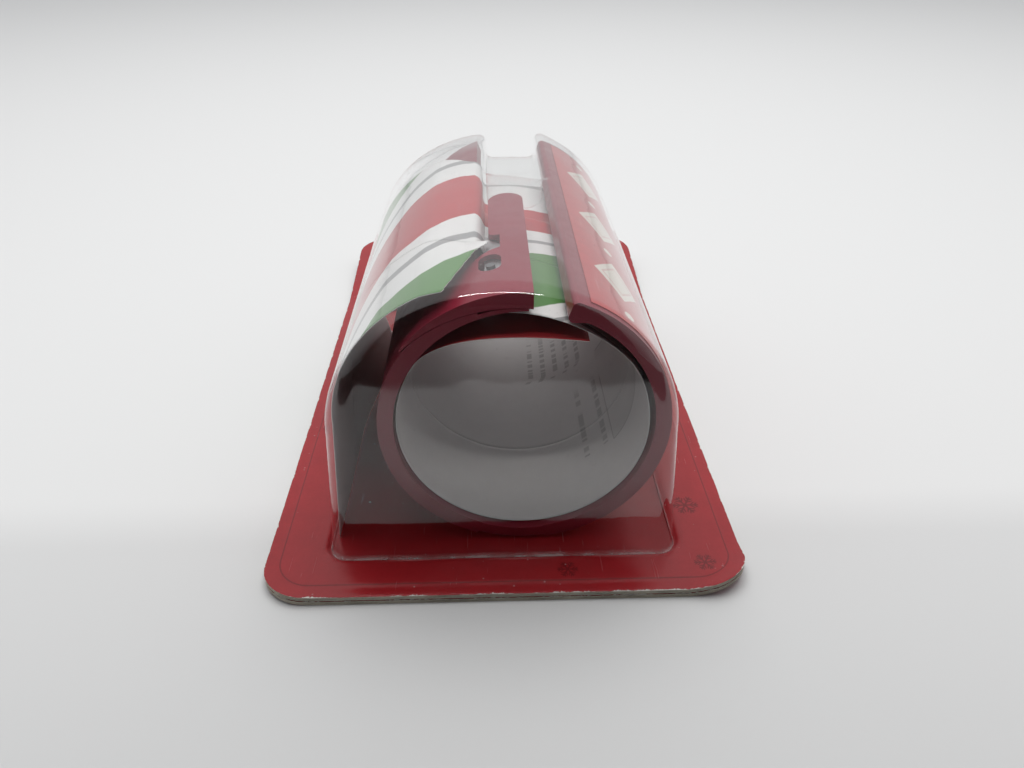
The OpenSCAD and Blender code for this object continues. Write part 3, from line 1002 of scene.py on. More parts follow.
@dataclass(frozen=True)
class PlainPaper:
    """White inner face of the wrap, with rows of grey bars and a line sketch."""

    name: str = "wrap_inside_finish"
    colour: Colour = (0.62, 0.61, 0.61)
    ink: Colour = (0.2, 0.19, 0.2)
    printed: bool = True

    def material(self, effects: Effects) -> bpy.types.Material:
        """Builds the material.

        Args:
            effects: The shared groups.

        Returns:
            The material.
        """
        material, g, out = new_material(self.name)
        fibre = g.group(effects.fibre, Scale=1.0)
        base = g.blend(
            g.math("MULTIPLY", fibre.outputs["Tone"], 0.07), self.colour, (0.3, 0.29, 0.28)
        )
        if self.printed:
            s, y = g.uv("sheet")
            base = g.blend(self.bars(g, s, y), base, self.ink)
        shader = g.put("BsdfPrincipled", None, Base_Color=base)
        shader.inputs["Roughness"].default_value = 0.62
        g.feed(shader.inputs["Normal"], g.bump(fibre.outputs["Height"], 0.00001))
        g.feed(out.inputs["Surface"], shader.outputs[0])
        return material

    def bars(self, g: Graph, s: Value, y: Value) -> bpy.types.NodeSocket:
        """Draws rows of short bars and an oval sketch in millimetres of the flat sheet.

        Args:
            g: The material's graph.
            s: Distance along the sheet.
            y: Distance across the sheet.

        Returns:
            The mask of the ink.
        """
        large = self.rows(g, s, y, (28.0, 40.0), (36.0, 68.0), 6.0, 0.62)
        small = self.rows(g, s, y, (35.0, 55.0), (78.0, 106.0), 3.9, 1.0)
        lines = g.math("MAXIMUM", large, small)
        across = g.math("SUBTRACT", s, 28.4)
        straight = g.math(
            "MULTIPLY",
            g.span(g.math("ABSOLUTE", across), 0.1, 0.22, 1.0, 0.0),
            g.span(y, 35.0, 35.3),
        )
        straight = g.math("MULTIPLY", straight, g.span(y, 62.0, 66.0, 1.0, 0.0))
        dx = g.math("DIVIDE", g.math("SUBTRACT", s, 28.4), 30.0)
        dy = g.math("DIVIDE", g.math("SUBTRACT", y, 56.0), 21.0)
        reach = g.math(
            "SQRT", g.math("ADD", g.math("MULTIPLY", dx, dx), g.math("MULTIPLY", dy, dy))
        )
        bow = g.math(
            "MULTIPLY",
            g.span(g.math("ABSOLUTE", g.math("SUBTRACT", reach, 1.0)), 0.008, 0.016, 1.0, 0.0),
            g.span(s, 28.6, 28.3),
        )
        shade = g.math("MULTIPLY", g.span(reach, 0.66, 0.97), g.span(reach, 0.98, 1.0, 1.0, 0.0))
        shade = g.math("MULTIPLY", g.math("MULTIPLY", shade, g.span(across, 0.0, -0.3)), 0.35)
        sketch = g.math("MAXIMUM", g.math("MAXIMUM", straight, bow), shade)
        return g.math("MULTIPLY", g.math("MAXIMUM", lines, sketch), 0.5)

    def rows(
        self,
        g: Graph,
        s: Value,
        y: Value,
        span_s: Point,
        span_y: Point,
        pitch: float,
        weight: float,
    ) -> bpy.types.NodeSocket:
        """Draws rows of broken bars inside a block.

        Args:
            g: The material's graph.
            s: Distance along the sheet.
            y: Distance across the sheet.
            span_s: Ends of the block along the sheet.
            span_y: Ends of the block across the sheet.
            pitch: Distance between rows.
            weight: How much of the pitch a bar fills.

        Returns:
            The mask of the bars.
        """
        shifted = g.math("DIVIDE", g.math("SUBTRACT", s, span_s[0]), pitch)
        row = g.math("ABSOLUTE", g.math("SUBTRACT", g.math("FRACT", shifted), 0.5))
        high = 0.16 * weight
        thick = g.span(row, high, high + 0.06, 1.0, 0.0)
        at = g.put(
            "CombineXYZ",
            None,
            X=g.math("DIVIDE", y, 0.4 * pitch),
            Y=g.math("MULTIPLY", g.math("FLOOR", shifted), 7.3),
        )
        broken = g.span(g.noise(at.outputs[0], 1.0, 1.0), 0.42, 0.5)
        inside = g.math(
            "MULTIPLY",
            g.span(s, span_s[0], span_s[0] + 0.2),
            g.span(s, span_s[1] - 0.2, span_s[1], 1.0, 0.0),
        )
        inside = g.math("MULTIPLY", inside, g.span(y, span_y[0], span_y[0] + 0.3))
        inside = g.math("MULTIPLY", inside, g.span(y, span_y[1] - 6.0, span_y[1], 1.0, 0.0))
        return g.math("MULTIPLY", g.math("MULTIPLY", thick, broken), inside)


@dataclass(frozen=True)
class Steel:
    """Plain steel, brushed along one direction."""

    name: str
    colour: Colour = (0.62, 0.62, 0.63)
    roughness: float = 0.3
    lines: float = 1.0

    def material(self, effects: Effects) -> bpy.types.Material:
        """Builds the material.

        Args:
            effects: The shared groups.

        Returns:
            The material.
        """
        material, g, out = new_material(self.name)
        mapped = g.put("Mapping", None, Vector=g.place())
        mapped.inputs["Scale"].default_value = (8.0, 0.4, 8.0)
        brush = g.noise(mapped.outputs[0], 900.0 * self.lines, 4.0, 0.7)
        grain = g.group(effects.grain, Scale=1.5)
        tone = g.blend(brush, tuple(0.75 * c for c in self.colour), self.colour)
        tone = g.blend(g.math("MULTIPLY", grain.outputs["Tone"], 0.3), tone, (0.3, 0.3, 0.31))
        rough = g.span(brush, 0.2, 0.8, self.roughness - 0.06, self.roughness + 0.12)
        shader = g.put("BsdfPrincipled", None, Base_Color=tone, Roughness=rough)
        shader.inputs["Metallic"].default_value = 1.0
        g.feed(shader.inputs["Normal"], g.bump(brush, 0.00001))
        g.feed(out.inputs["Surface"], shader.outputs[0])
        return material


@dataclass(frozen=True)
class LabelPrint:
    """Red label with pale plain shapes, on the guide half of the tube."""

    name: str = "guide_label_finish"
    red: Colour = (0.4, 0.03, 0.035)
    pale: Colour = (0.66, 0.62, 0.55)
    axis_x: float = 4.4
    axis_z: float = 32.9
    radius: float = 31.6

    def material(self, effects: Effects) -> bpy.types.Material:
        """Builds the material.

        Args:
            effects: The shared groups.

        Returns:
            The material.
        """
        material, g, out = new_material(self.name)
        parts = g.put("SeparateXYZ", None, Vector=g.place())
        dx = g.math("SUBTRACT", parts.outputs[0], self.axis_x * MM)
        dz = g.math("SUBTRACT", parts.outputs[2], self.axis_z * MM)
        arc = g.math("MULTIPLY", g.math("ARCTAN2", dz, dx), self.radius)
        y = g.math("MULTIPLY", g.math("SUBTRACT", parts.outputs[1], CARD_FRONT_Y), 1000.0)
        fibre = g.group(effects.fibre, Scale=1.0)
        scuffs = g.group(effects.scuffs, Scale=1.2)
        base = g.blend(fibre.outputs["Tone"], self.red, tuple(1.15 * c for c in self.red))
        base = g.blend(self.shapes(g, arc, y), base, self.pale)
        base = g.blend(g.math("MULTIPLY", scuffs.outputs["Mask"], 0.15), base, (0.6, 0.5, 0.5))
        shader = g.put("BsdfPrincipled", None, Base_Color=base)
        shader.inputs["Roughness"].default_value = 0.3
        g.feed(shader.inputs["Normal"], g.bump(fibre.outputs["Height"], 0.00001))
        g.feed(out.inputs["Surface"], shader.outputs[0])
        return material

    def shapes(self, g: Graph, arc: Value, y: Value) -> bpy.types.NodeSocket:
        """Draws a row of pale diamonds with dots between them.

        Args:
            g: The material's graph.
            arc: Distance round the tube.
            y: Distance along the card.

        Returns:
            The mask of the pale shapes.
        """
        across = g.math("SUBTRACT", arc, 26.0)
        fold = g.math(
            "SUBTRACT", g.math("FLOORED_MODULO", g.math("SUBTRACT", y, 24.5), 33.3), 16.65
        )
        size = g.math(
            "ADD",
            g.math("DIVIDE", g.math("ABSOLUTE", across), 7.0),
            g.math("DIVIDE", g.math("ABSOLUTE", fold), 10.0),
        )
        diamond = g.span(size, 0.97, 1.0, 1.0, 0.0)
        hollow = g.math("MULTIPLY", g.span(size, 0.6, 0.63), g.span(size, 0.7, 0.73, 1.0, 0.0))
        diamond = g.math(
            "MULTIPLY", diamond, g.math("SUBTRACT", 1.0, g.math("MULTIPLY", hollow, 0.4))
        )
        shifted = g.math(
            "SUBTRACT", g.math("FLOORED_MODULO", g.math("SUBTRACT", y, 41.15), 33.3), 16.65
        )
        dot_arc = g.math("SUBTRACT", g.math("ABSOLUTE", g.math("SUBTRACT", arc, 19.0)), 7.0)
        reach = g.math(
            "SQRT",
            g.math(
                "ADD", g.math("MULTIPLY", dot_arc, dot_arc), g.math("MULTIPLY", shifted, shifted)
            ),
        )
        dots = g.span(reach, 1.3, 1.5, 1.0, 0.0)
        return g.math("MAXIMUM", diamond, dots)


@dataclass(frozen=True)
class TableTop:
    """Plain pale table."""

    name: str = "table_finish"
    colour: Colour = (0.655, 0.66, 0.665)

    def material(self) -> bpy.types.Material:
        """Builds the material.

        Returns:
            The material.
        """
        material, g, out = new_material(self.name)
        shader = g.put("BsdfPrincipled", None, Base_Color=self.colour)
        shader.inputs["Roughness"].default_value = 0.55
        shader.inputs["Specular IOR Level"].default_value = 0.25
        g.feed(out.inputs["Surface"], shader.outputs[0])
        return material


# ---------- studio ----------


@dataclass
class Studio:
    """Camera, table and light."""

    focal_px: float = 780.78
    image_px: float = 1024.0
    place: tuple[float, float, float] = (-2.81, -117.41, 130.8)
    pitch: float = 32.56
    yaw: float = 1.861
    roll: float = 0.105
    sensor: float = 36.0
    horizon: float = 0.6
    ceiling: float = 0.8
    front_share: float = 0.25
    back_power: float = 3.0
    top_power: float = 4.0
    strip_power: float = 1.1
    shade_half: float = 0.2
    shade_height: float = 0.09

    def build(self) -> None:
        """Makes the camera, the table and the lights."""
        self.camera()
        self.table()
        self.shade()
        self.lights()

    def camera(self) -> None:
        """Puts the camera where the photograph was taken from."""
        lens = bpy.data.cameras.new("camera")
        lens.sensor_fit = "HORIZONTAL"
        lens.sensor_width = self.sensor
        lens.lens = self.sensor * self.focal_px / self.image_px
        lens.clip_start = 0.01
        lens.clip_end = 20.0
        camera = bpy.data.objects.new("camera", lens)
        camera.location = to_metres(np.array([self.place]))[0]
        turn = Euler((math.radians(90.0 - self.pitch), 0.0, math.radians(-self.yaw))).to_matrix()
        turn = turn @ Matrix.Rotation(math.radians(self.roll), 3, "Z")
        camera.rotation_euler = turn.to_euler()
        bpy.context.scene.collection.objects.link(camera)
        bpy.context.scene.camera = camera

    def table(self) -> None:
        """Makes the flat pale table."""
        half = 2.5
        mesh = bpy.data.meshes.new("table")
        points = [(x * half, y * half, -0.00005) for x, y in ((-1, -1), (1, -1), (1, 1), (-1, 1))]
        mesh.from_pydata(points, [], [(0, 1, 2, 3)])
        mesh.materials.append(TableTop().material())
        table = bpy.data.objects.new("table", mesh)
        bpy.context.scene.collection.objects.link(table)

    def shade(self) -> None:
        """Makes a shading plate and wall, and a mat of painted shadow, all unseen by the camera.
        """
        # The flat mat in front of the card is a painted shadow of the photographer on the table,
        # seen in the film's reflections.
        near, far, half = -0.165, -1.1, 0.9
        points = [
            (-half, near, 0.0006), (half, near, 0.0006), (half, far, 0.0006), (-half, far, 0.0006)
        ]
        points += [(half, far, 0.9), (-half, far, 0.9)]
        faces = [(3, 2, 1, 0), (2, 3, 5, 4)]
        eye = to_metres(np.array([self.place]))[0]
        tilt = math.radians(self.pitch)
        for side, up in ((-1, -1), (1, -1), (1, 1), (-1, 1)):
            lift = up * self.shade_height
            points.append(
                (
                    eye[0] + side * self.shade_half,
                    eye[1] + lift * math.sin(tilt),
                    eye[2] + lift * math.cos(tilt),
                ),
            )
        faces.append((6, 7, 8, 9))
        mesh = bpy.data.meshes.new("photographer_and_painted_shadow")
        mesh.from_pydata(points, [], faces)
        material, g, out = new_material("photographer_and_painted_shadow_finish")
        # Dark colour of the plate, the wall and the painted shadow mat.
        shader = g.put("BsdfDiffuse", None, Color=(0.03, 0.028, 0.027))
        g.feed(out.inputs["Surface"], shader.outputs[0])
        mesh.materials.append(material)
        shade = bpy.data.objects.new("photographer_and_painted_shadow", mesh)
        shade.visible_camera = False
        bpy.context.scene.collection.objects.link(shade)

    def lights(self) -> None:
        """Makes a soft room light and two large soft lamps."""
        world = bpy.data.worlds.new("room")
        world.use_nodes = True
        world.node_tree.nodes.clear()
        g = Graph(world.node_tree)
        way = g.put("SeparateXYZ", None, Vector=g.put("TexCoord").outputs["Generated"])
        level = g.span(way.outputs[2], 0.0, 1.0, self.horizon, self.ceiling)
        front = g.span(way.outputs[1], -0.1, -0.8, 1.0, self.front_share)
        room = g.put(
            "Background", None, Color=(0.985, 0.99, 1.0), Strength=g.math("MULTIPLY", level, front)
        )
        g.feed(g.put("OutputWorld").inputs["Surface"], room.outputs[0])
        bpy.context.scene.world = world
        self.lamp(
            "back_lamp", (0.15, 0.7, 1.0), (0.0, 0.2, 0.0), (1.2, 0.9), self.back_power, False
        )
        self.lamp(
            "top_lamp", (0.0, 0.2, 0.85), (0.0, 0.15, 0.0), (0.8, 0.6), self.top_power, False
        )
        self.lamp(
            "strip_lamp",
            (0.0, -0.4, 0.72),
            (0.0, -0.08, 0.06),
            (0.5, 0.035),
            self.strip_power,
            True,
        )
        bpy.context.scene.view_settings.view_transform = "Standard"
        bpy.context.scene.view_settings.look = "None"

    def lamp(
        self,
        name: str,
        place: Sequence[float],
        target: Sequence[float],
        size: Point,
        power: float,
        mirrored: bool,
    ) -> None:
        """Adds one area lamp.

        Args:
            name: Name of the lamp.
            place: Where it hangs, in metres.
            target: What it points at.
            size: Width and depth in metres.
            power: Power in watts.
            mirrored: Whether it shows in reflections.
        """
        light = bpy.data.lights.new(name, "AREA")
        light.shape = "RECTANGLE"
        light.size, light.size_y = size
        light.energy = power
        light.color = (1.0, 0.99, 0.97)
        lamp = bpy.data.objects.new(name, light)
        lamp.location = place
        aim = Vector(target) - Vector(place)
        lamp.rotation_euler = aim.to_track_quat("-Z", "Y").to_euler()
        lamp.visible_glossy = mirrored
        bpy.context.scene.collection.objects.link(lamp)


# ---------- card ----------


@dataclass
class Card:
    """Two printed boards, bent up at the crease of the hanging tab."""

    width: float = 108.0
    length: float = 188.0
    board: float = 1.1
    film: float = 0.4
    corner: float = 10.0
    crease_y: float = 143.0
    tilt: float = 7.4
    hole: float = 8.0
    hole_edge: float = 14.0
    window_low: Point = (-40.0, 11.6)
    window_high: Point = (39.2, 136.2)
    window_corner: float = 4.2
    flange_margin: float = 3.1
    flange_corner: float = 8.0
    press: float = 0.28

    def build(self, effects: Effects) -> None:
        """Makes both boards.

        Args:
            effects: The shared groups.
        """
        flakes = (
            (44.4, 26.8, 3.3),
            (44.8, 7.6, 2.6),
            (13.7, 6.4, 2.4),
            (-46.5, 62.0, 3.4),
            (45.5, 96.0, 3.6),
            (-45.5, 118.0, 2.6),
        )
        front_print = RedPrint("card_front_finish", flakes=flakes, painted_groove_shade=True).material(effects)
        back_print = RedPrint("card_back_finish").material(effects)
        edge = BoardEdge().material(effects)
        back = self.one_board("card_back", 0.0, False, [back_print, edge])
        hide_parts("back_board")
        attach(back, Body.PACKAGE.value)
        front = self.one_board("card_front", self.board + self.film, True, [front_print, edge])
        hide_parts("front_board")
        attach(front, Body.PACKAGE.value)
        LOG.info("card: two boards")

    def outline(self, inset: float, spacing: float) -> np.ndarray:
        """Makes the outline of a board, drawn in by an inset.

        Args:
            inset: How far it is drawn in.
            spacing: Distance between points.

        Returns:
            Points of the flat outline.
        """
        low = (-self.width / 2 + inset, inset)
        high = (self.width / 2 - inset, self.length - inset)
        return rounded_outline(low, high, self.corner - min(inset, self.corner / 2), spacing)

    def rim_distance(self, flat: np.ndarray) -> np.ndarray:
        """Distance of flat points from the board's outer edge.

        Args:
            flat: Array of N rows of X and Y.

        Returns:
            N distances, above zero inside.
        """
        low = (-self.width / 2, 0.0)
        return -rounded_distance(flat, low, (self.width / 2, self.length), self.corner)

    def bend(self, flat: np.ndarray, z: np.ndarray) -> np.ndarray:
        """Bends flat points up at the crease and curls the front corners.

        Args:
            flat: Array of N rows of X and Y on the flat board.
            z: Level of each point.

        Returns:
            Points in the card's frame.
        """
        ease = 1.2
        tilt = math.radians(self.tilt)
        d = flat[:, 1] - self.crease_y
        radius = 2.0 * ease / tilt
        turn = np.clip((d + ease) / (2.0 * ease), 0.0, 1.0) * tilt
        past = np.maximum(d - ease, 0.0)
        before = np.minimum(d, -ease)
        y = self.crease_y + before + (radius - z) * np.sin(turn) + past * np.cos(turn)
        level = radius - (radius - z) * np.cos(turn) + past * np.sin(turn)
        right = np.maximum(15.0 - ((self.width / 2 - flat[:, 0]) + flat[:, 1]), 0.0) / 15.0
        left = np.maximum(13.0 - ((self.width / 2 + flat[:, 0]) + flat[:, 1]), 0.0) / 13.0
        level = level + 4.4 * right**1.5 + 1.2 * left**1.5
        return np.stack([flat[:, 0], y, level], -1)

    def one_board(
        self, name: str, z: float, windowed: bool, materials: Sequence[bpy.types.Material]
    ) -> bpy.types.Object:
        """Makes one board.

        Args:
            name: Name of the piece.
            z: Level of its underside.
            windowed: Whether it has the window for the bubble.
            materials: Finish of its print and of its cut edge.

        Returns:
            The board.
        """
        spacing = 1.5
        loops = [self.outline(0.0, spacing)]
        hole = [(0.0, self.length - self.hole_edge)]
        ring = np.linspace(0.0, 2.0 * math.pi, 33)[:-1]
        loops.append(
            np.stack(
                [
                    hole[0][0] + self.hole / 2 * np.cos(-ring),
                    hole[0][1] + self.hole / 2 * np.sin(-ring),
                ],
                -1,
            ),
        )
        if windowed:
            opening = rounded_outline(
                self.window_low, self.window_high, self.window_corner, spacing
            )
            loops.append(opening[::-1])
        inner = [self.outline(inset, spacing * 1.3) for inset in (0.35, 0.9, 1.6)]
        margin = self.flange_margin
        flange_high = (self.width / 2 - margin, self.crease_y - 1.0 - margin)
        for inset in (-0.9, -0.45, 0.0, 0.45, 0.9):
            inner.append(
                rounded_outline(
                    (-self.width / 2 + margin + inset, margin + inset),
                    (flange_high[0] - inset, flange_high[1] - inset),
                    self.flange_corner - inset,
                    spacing * 1.2,
                )
            )
        grid = np.array(
            [(x, y) for x in np.arange(-51.0, 51.5, 3.0) for y in np.arange(3.5, 185.0, 3.0)]
        )
        creases = np.array(
            [
                (x, self.crease_y + off)
                for off in (-1.2, -0.4, 0.4, 1.2) for x in np.arange(-51.0, 51.5, 3.0)
            ]
        )
        if windowed:
            for out in (0.35, 0.75, 1.3):
                low = (self.window_low[0] - out, self.window_low[1] - out)
                high = (self.window_high[0] + out, self.window_high[1] + out)
                inner.append(rounded_outline(low, high, self.window_corner + out, spacing))
        free = np.concatenate([*inner, creases, grid])
        rim = self.rim_distance(free)
        keep = rim > 0.3
        keep &= np.hypot(free[:, 0], free[:, 1] - hole[0][1]) > self.hole / 2 + 0.7
        if windowed:
            keep &= rounded_distance(
                free, self.window_low, self.window_high, self.window_corner
            ) > 0.25
        free = free[keep]
        rounded = np.round(free / 0.45).astype(int)
        _, first = np.unique(rounded, axis=0, return_index=True)
        free = free[np.sort(first)]
        fixed = np.concatenate(loops)
        edges, start = [], 0
        for loop in loops:
            count = len(loop)
            edges += [(start + k, start + (k + 1) % count) for k in range(count)]
            start += count
        flat_in = [Vector(p) for p in np.concatenate([fixed, free]).tolist()]
        flat, _, triangles, _, _, _ = geometry.delaunay_2d_cdt(flat_in, edges, [], 0, 1e-6)
        flat = np.array([tuple(p) for p in flat])
        corners = np.array([list(t) for t in triangles])
        middle = flat[corners].mean(1)
        good = self.rim_distance(middle) > 0.0
        good &= np.hypot(middle[:, 0], middle[:, 1] - hole[0][1]) > self.hole / 2 * 0.985
        if windowed:
            good &= rounded_distance(
                middle, self.window_low, self.window_high, self.window_corner
            ) > 0.0
        corners = corners[good]
        return self.thicken(name, z, windowed, flat, corners, loops, materials)

    def thicken(
        self,
        name: str,
        z: float,
        windowed: bool,
        flat: np.ndarray,
        corners: np.ndarray,
        loops: Sequence[np.ndarray],
        materials: Sequence[bpy.types.Material],
    ) -> bpy.types.Object:
        """Makes the two faces and the layered edges of a board.

        Args:
            name: Name of the piece.
            z: Level of its underside.
            windowed: Whether it has the window.
            flat: Points of the flat board.
            corners: Triangles of their numbers.
            loops: Outlines of the board and its openings.
            materials: Finish of its print and of its cut edge.

        Returns:
            The board.
        """
        count = len(flat)
        rim = self.rim_distance(flat)
        margin = self.flange_margin
        flange = rounded_distance(
            flat,
            (-self.width / 2 + margin, margin),
            (self.width / 2 - margin, self.crease_y - 1.0 - margin),
            self.flange_corner,
        )
        pressed = smooth_step(-0.95, 0.95, flange) * self.press if windowed else np.zeros(count)
        wave = 0.06 * ripple(flat, 37.0)
        if windowed:
            window = rounded_distance(flat, self.window_low, self.window_high, self.window_corner)
            pressed = pressed + (self.board - 0.12) * smooth_step(1.3, 0.0, window)
        top = (
            z + self.board - pressed - 0.14 * smooth_step(0.5, 0.0, rim)
            + 0.5 * wave * smooth_step(0.0, 3.0, rim)
        )
        top = np.minimum(top, z + self.board)
        low = np.maximum(z - pressed, z - self.press) + 0.02 * (not windowed)
        points = [self.bend(flat, top), self.bend(flat, low)]
        faces = [tuple(t) for t in corners] + [tuple(t[::-1] + count) for t in corners]
        slots = [0] * (2 * len(corners))
        rims = [np.stack([rim, flange], -1)] * 2
        edges = [np.zeros((count, 2)), np.zeros((count, 2))]
        total = 2 * count
        levels = np.array([0.0, 0.12, 0.26, 0.4, 0.52, 0.66, 0.8, 0.92, 1.0])
        for number, loop in enumerate(loops):
            n = len(loop)
            ahead = np.roll(loop, -1, 0) - np.roll(loop, 1, 0)
            ahead /= np.linalg.norm(ahead, axis=1, keepdims=True)
            inward = np.stack([-ahead[:, 1], ahead[:, 0]], -1)
            length = np.concatenate(
                [[0.0], np.cumsum(np.linalg.norm(np.diff(loop, axis=0), axis=1))]
            )
            near = np.array([np.argmin(((flat - p) ** 2).sum(1)) for p in loop])
            for level in levels:
                layer = np.concatenate([loop, np.full((n, 1), 9.0 * level)], 1)
                amount = 0.16 if number == 0 else 0.05
                dent = (
                    amount * (0.55 + 0.45 * ripple(layer, 5.0, z))
                    * (level * (1 - level) * 4.0) ** 0.5
                )
                dent = np.maximum(dent, 0.0)
                here = loop + inward * dent[:, None]
                height = low[near] + (top[near] - low[near]) * level
                points.append(self.bend(here, height))
                rims.append(np.full((n, 2), 9.0 if number == 2 else 0.0))
                edges.append(np.stack([length, np.full(n, level)], -1))
            for row in range(len(levels) - 1):
                a = total + row * n
                for k in range(n):
                    m = (k + 1) % n
                    faces.append((a + k, a + m, a + n + m, a + n + k))
                    slots.append(0 if number == 2 else 1)
            total += n * len(levels)
        piece = make_piece(name, np.concatenate(points), faces, materials, slots, sharp_from=38.0)
        paint_uv(piece, "rim", np.concatenate(rims))
        paint_uv(piece, "edge", np.concatenate(edges))
        return piece


# ---------- bubble ----------


@dataclass
class Bubble:
    """Clear thermoformed bubble with its flange and the recess that dips into the slot."""

    width: float = 78.8
    length: float = 124.2
    height: float = 68.0
    middle_x: float = -0.4
    near_y: float = 11.8
    shoulder_z: float = 33.5
    side_draft: float = 2.2
    end_draft: float = 1.8
    power: float = 2.0
    flange_top: float = 1.45
    flange_low: Point = (-50.9, 3.1)
    flange_high: Point = (50.9, 138.9)
    edge_r: float = 4.0
    base_fillet: float = 1.3
    left_sink: float = 2.6
    right_sink: float = 0.0
    sink_from: Point = (6.0, 104.0)
    sink_to: Point = (-4.0, 131.0)
    arch_slope: float = 0.95
    flange_corner: float = 8.0
    recess_x: float = 4.4
    recess_width: float = 15.0
    recess_near_y: float = 83.0
    recess_floor: float = 57.6
    recess_corner: float = 5.0
    recess_floor_edge: float = 2.0
    recess_top_edge: float = 2.6
    step: float = 0.75

    def build(self, effects: Effects) -> None:
        """Makes the film.

        Args:
            effects: The shared groups.
        """
        low = (self.flange_low[0] - 1.5, self.flange_low[1] - 1.5, -2.5)
        high = (self.flange_high[0] + 1.5, self.flange_high[1] + 1.5, self.height + 1.5)
        step = self.step * 1.0
        points, faces, normals = surface_of(self.form, low, high, step)
        keep = points[:, 2] > self.flange_top - 0.25
        faces = faces[keep[faces].all(1)]
        used = np.zeros(len(points), bool)
        used[faces.ravel()] = True
        number = np.cumsum(used) - 1
        # Mask of the base crease, where the film's finish paints a highlight of milky white.
        lift = np.abs(points[used, 2] - self.flange_top - 0.5)
        crease = (
            smooth_step(0.7, 0.05, lift) * smooth_step(-0.35, 0.1, -np.abs(normals[used, 2]) + 0.9)
        )
        piece = make_piece(
            "clear_bubble",
            points[used],
            number[faces],
            [ClearFilm().material(effects)],
            normals=normals[used],
        )
        paint_uv(piece, "crease", np.stack([crease, np.zeros_like(crease)], -1))
        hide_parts("clear_blister")
        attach(piece, Body.PACKAGE.value)
        LOG.info("bubble: %d faces", len(faces))

    def form(self, p: np.ndarray) -> np.ndarray:
        """Signed distance to the solid under the film.

        Args:
            p: Array of N points.

        Returns:
            N distances.
        """
        x = np.abs(p[:, 0] - self.middle_x)
        z = p[:, 2]
        half = self.width / 2 - self.side_draft
        leftward = smooth_step(self.sink_from[0], self.sink_to[0], p[:, 0])
        sink = self.right_sink + (self.left_sink - self.right_sink) * leftward
        backward = smooth_step(self.sink_from[1], self.sink_to[1], p[:, 1])
        rise = self.height - self.shoulder_z - sink * backward
        up = np.maximum(z - self.shoulder_z, 0.0) / rise
        arch = ((x / half) ** self.power + up**self.power) ** (1.0 / self.power)
        wall = self.width / 2 - self.side_draft * np.minimum(z, self.shoulder_z) / self.shoulder_z
        section = np.where(z > self.shoulder_z, (arch - 1.0) * half * self.arch_slope, x - wall)
        middle_y = self.near_y + self.length / 2
        end = np.abs(p[:, 1] - middle_y) - (self.length / 2 - self.end_draft * z / self.height)
        body = convex_edge(section, end, self.edge_r)
        plan = rounded_distance(p[:, :2], self.flange_low, self.flange_high, self.flange_corner)
        slab = np.maximum(np.maximum(z - self.flange_top, plan), -2.0 - z)
        body = hollow_edge(body, slab, self.base_fillet)
        side = np.abs(p[:, 0] - self.recess_x) - self.recess_width / 2
        front = self.recess_near_y - p[:, 1]
        plan = convex_edge(side, front, self.recess_corner)
        dip = convex_edge(plan, self.recess_floor - z, self.recess_floor_edge)
        return convex_edge(body, -dip, self.recess_top_edge)


# ---------- tube, arm and blade: the solids of the part with their finishes ----------


@dataclass
class Tool:
    """Plastic tube halves, spine, arm, label, blade and pins."""

    shells: tuple[str, ...] = ("guide_shell", "hinge_spine", "cutter_shell")
    arm: str = "cutter_arm"
    label: str = "guide_label"
    blade: str = "blade"
    pins: str = "blade_pins"
    edge_radius: float = 0.3
    arm_radius: float = 0.55

    def build(self, effects: Effects) -> None:
        """Dresses the solids.

        Args:
            effects: The shared groups.
        """
        shell = MouldedPlastic("tube_plastic_finish").material(effects)
        arm = MouldedPlastic("arm_plastic_finish", (0.23, 0.016, 0.036), 0.34).material(effects)
        for name in self.shells:
            self.dress(name, shell, self.edge_radius)
        self.dress(self.arm, arm, self.arm_radius)
        self.dress(self.label, LabelPrint().material(effects), 0.0)
        self.dress(self.blade, Steel("blade_finish").material(effects), 0.0)
        self.dress(self.pins, Steel("pin_finish", (0.3, 0.3, 0.31), 0.4).material(effects), 0.0)
        LOG.info("tool: shells, arm, label, blade and pins")

    def dress(self, node: str, material: bpy.types.Material, radius: float) -> None:
        """Gives a solid its finish and soft edges.

        Args:
            node: Name of the node.
            material: Its finish.
            radius: Radius of its edges, or 0.
        """
        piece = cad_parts[node]
        for slot in piece.material_slots:
            slot.material = material
        if radius:
            soft = piece.modifiers.new("soft_edges", "BEVEL")
            soft.width = radius * MM
            soft.segments = 2
            soft.limit_method = "ANGLE"
            soft.angle_limit = math.radians(38.0)
            soft.harden_normals = True


# ---------- sample sheet ----------


